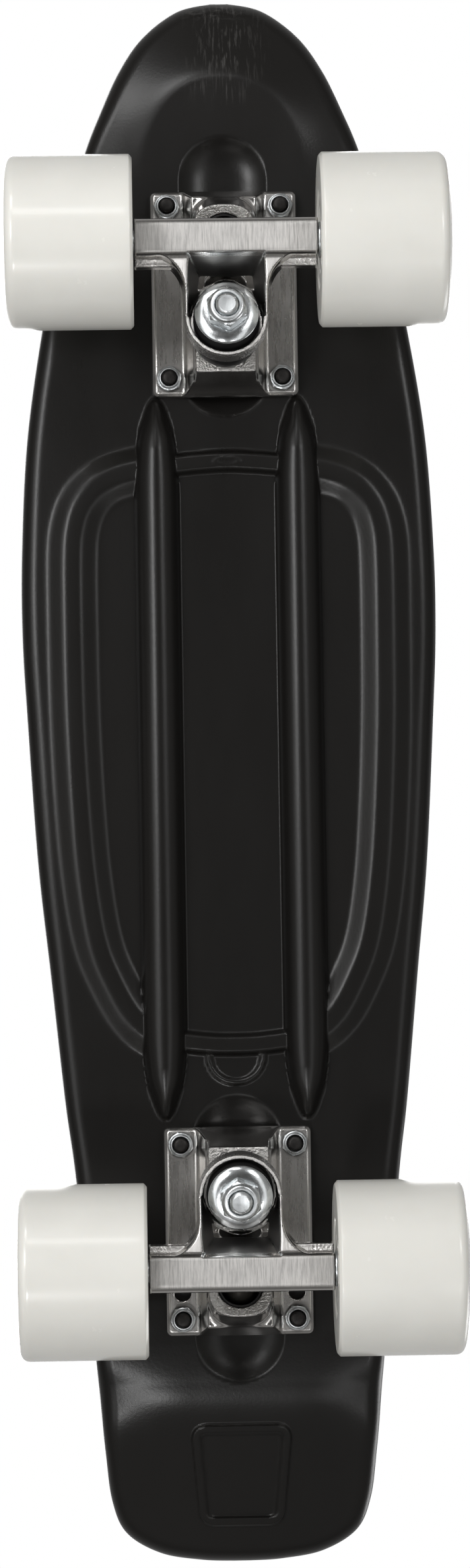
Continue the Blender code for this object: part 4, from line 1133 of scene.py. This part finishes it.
# darker straight below the board, where the camera stands; pale to the sides
env = wt.nodes.new("ShaderNodeValToRGB")
el = env.color_ramp.elements
el[0].position, el[0].color = 0.0, (0.080, 0.077, 0.073, 1)
el[1].position, el[1].color = 1.0, (0.55, 0.55, 0.55, 1)
for at, c in ((0.015, 0.055), (0.05, 0.12), (0.125, 0.24), (0.325, 0.24), (0.45, 0.10), (0.6, 0.24)):
    e = el.new(at)
    e.color = (c, c * 0.985, c * 0.96, 1)
up = wt.nodes.new("ShaderNodeMath"); up.operation = "MULTIPLY_ADD"
up.inputs[1].default_value = 0.5
up.inputs[2].default_value = 0.5
wt.links.new(sepw.outputs["Z"], up.inputs[0])
wt.links.new(up.outputs[0], env.inputs["Fac"])
mixw = wt.nodes.new("ShaderNodeMix"); mixw.data_type = "RGBA"
wt.links.new(lp.outputs["Is Camera Ray"], mixw.inputs["Factor"])
soft = wt.nodes.new("ShaderNodeMix"); soft.data_type = "RGBA"
wt.links.new(lp.outputs["Is Diffuse Ray"], soft.inputs["Factor"])
wt.links.new(env.outputs["Color"], soft.inputs["A"])
soft.inputs["B"].default_value = (0.335, 0.335, 0.328, 1)
wt.links.new(soft.outputs["Result"], mixw.inputs["A"])
mixw.inputs["B"].default_value = (1, 1, 1, 1)
wt.links.new(mixw.outputs["Result"], bg.inputs["Color"])
bg.inputs["Strength"].default_value = 1.0


def area(name, at, look, w, h, power, color=(1, 1, 1), spin=0.0):
    L = bpy.data.lights.new(name, "AREA")
    L.shape = "RECTANGLE"
    L.size, L.size_y = w, h
    L.energy = power
    L.color = color
    o = bpy.data.objects.new(name, L)
    scene.collection.objects.link(o)
    dr = (Vector(look) - Vector(at)).normalized()
    a = -dr
    ref = Vector((0, 1, 0)) if abs(a.y) < 0.95 else Vector((0, 0, 1))
    xax = ref.cross(a).normalized()
    yax = a.cross(xax)
    R = Matrix((xax, yax, a)).transposed().to_4x4()
    o.matrix_world = Matrix.Translation(Vector(at)) @ R @ Matrix.Rotation(spin, 4, "Z")
    o.visible_camera = False
    return o


# +X is the left of the main view
area("softbox_left", (0.80, 0.05, -0.95), (0, 0, 0.06), 0.50, 1.9, 3.7)
area("softbox_right", (-0.66, 0.0, -1.12), (0, 0, 0.06), 0.42, 1.9, 2.0)
area("key_left", (0.60, 0.30, -1.08), (0, 0.05, 0.06), 0.26, 0.42, 3.5)
area("key_right", (-0.55, 0.45, -1.05), (0, 0.05, 0.06), 0.22, 0.34, 1.4)
area("key_nose", (0.42, 1.00, -0.74), (0, 0.2, 0.06), 0.40, 0.36, 2.8)
area("key_front", (0.13, 0.76, -0.92), (0, 0.15, 0.06), 0.22, 0.16, 0.55)
area("key_tail", (0.24, -0.66, -0.97), (0, -0.1, 0.06), 0.15, 0.12, 1.9)
area("key_tail_right", (-0.30, -0.66, -0.96), (0, -0.1, 0.06), 0.13, 0.10, 0.32)
area("overhead", (0.25, 0.3, 1.7), (0, 0, 0.05), 1.6, 1.6, 20)
area("overhead_side", (-1.5, -0.9, 1.1), (0, 0, 0.05), 0.9, 0.9, 8)

# camera under the board, as the photograph was taken
H, S = 1500.0, 4.2855
LOW = 22.0
CX, CY, TX, TY, ROLL, K = -28.857, -64.715 - LOW, 0.797, -3.283 - LOW, -0.0156, 1.0023
C = np.array([CX, CY, H])
f = np.array([TX, TY, 0.0]) - C
f /= np.linalg.norm(f)
r = np.cross(f, (0, 1.0, 0))
r /= np.linalg.norm(r)
u = np.cross(r, f)
rr = cos(ROLL) * r + sin(ROLL) * u
uu = -sin(ROLL) * r + cos(ROLL) * u


def to_world(p):
    return Vector((-p[0], p[1], -p[2]))


cam = bpy.data.cameras.new("camera")
cam.sensor_fit = "AUTO"
cam.sensor_width = 36.0
cam.shift_y = LOW / H * S * H * K / 2376.0
cam.lens = S * H * K / 2376.0 * 36.0
cam.clip_start, cam.clip_end = 0.05, 50.0
cam_ob = bpy.data.objects.new("camera", cam)
scene.collection.objects.link(cam_ob)
Rc = Matrix((to_world(rr), to_world(uu), to_world(-f))).transposed().to_4x4()
loc = to_world(C) * MM + Vector((0, 0, DECK_UNDER_Z * MM))
cam_ob.matrix_world = Matrix.Translation(loc) @ Rc
scene.camera = cam_ob
scene.view_settings.view_transform = "Standard"
scene.view_settings.look = "None"
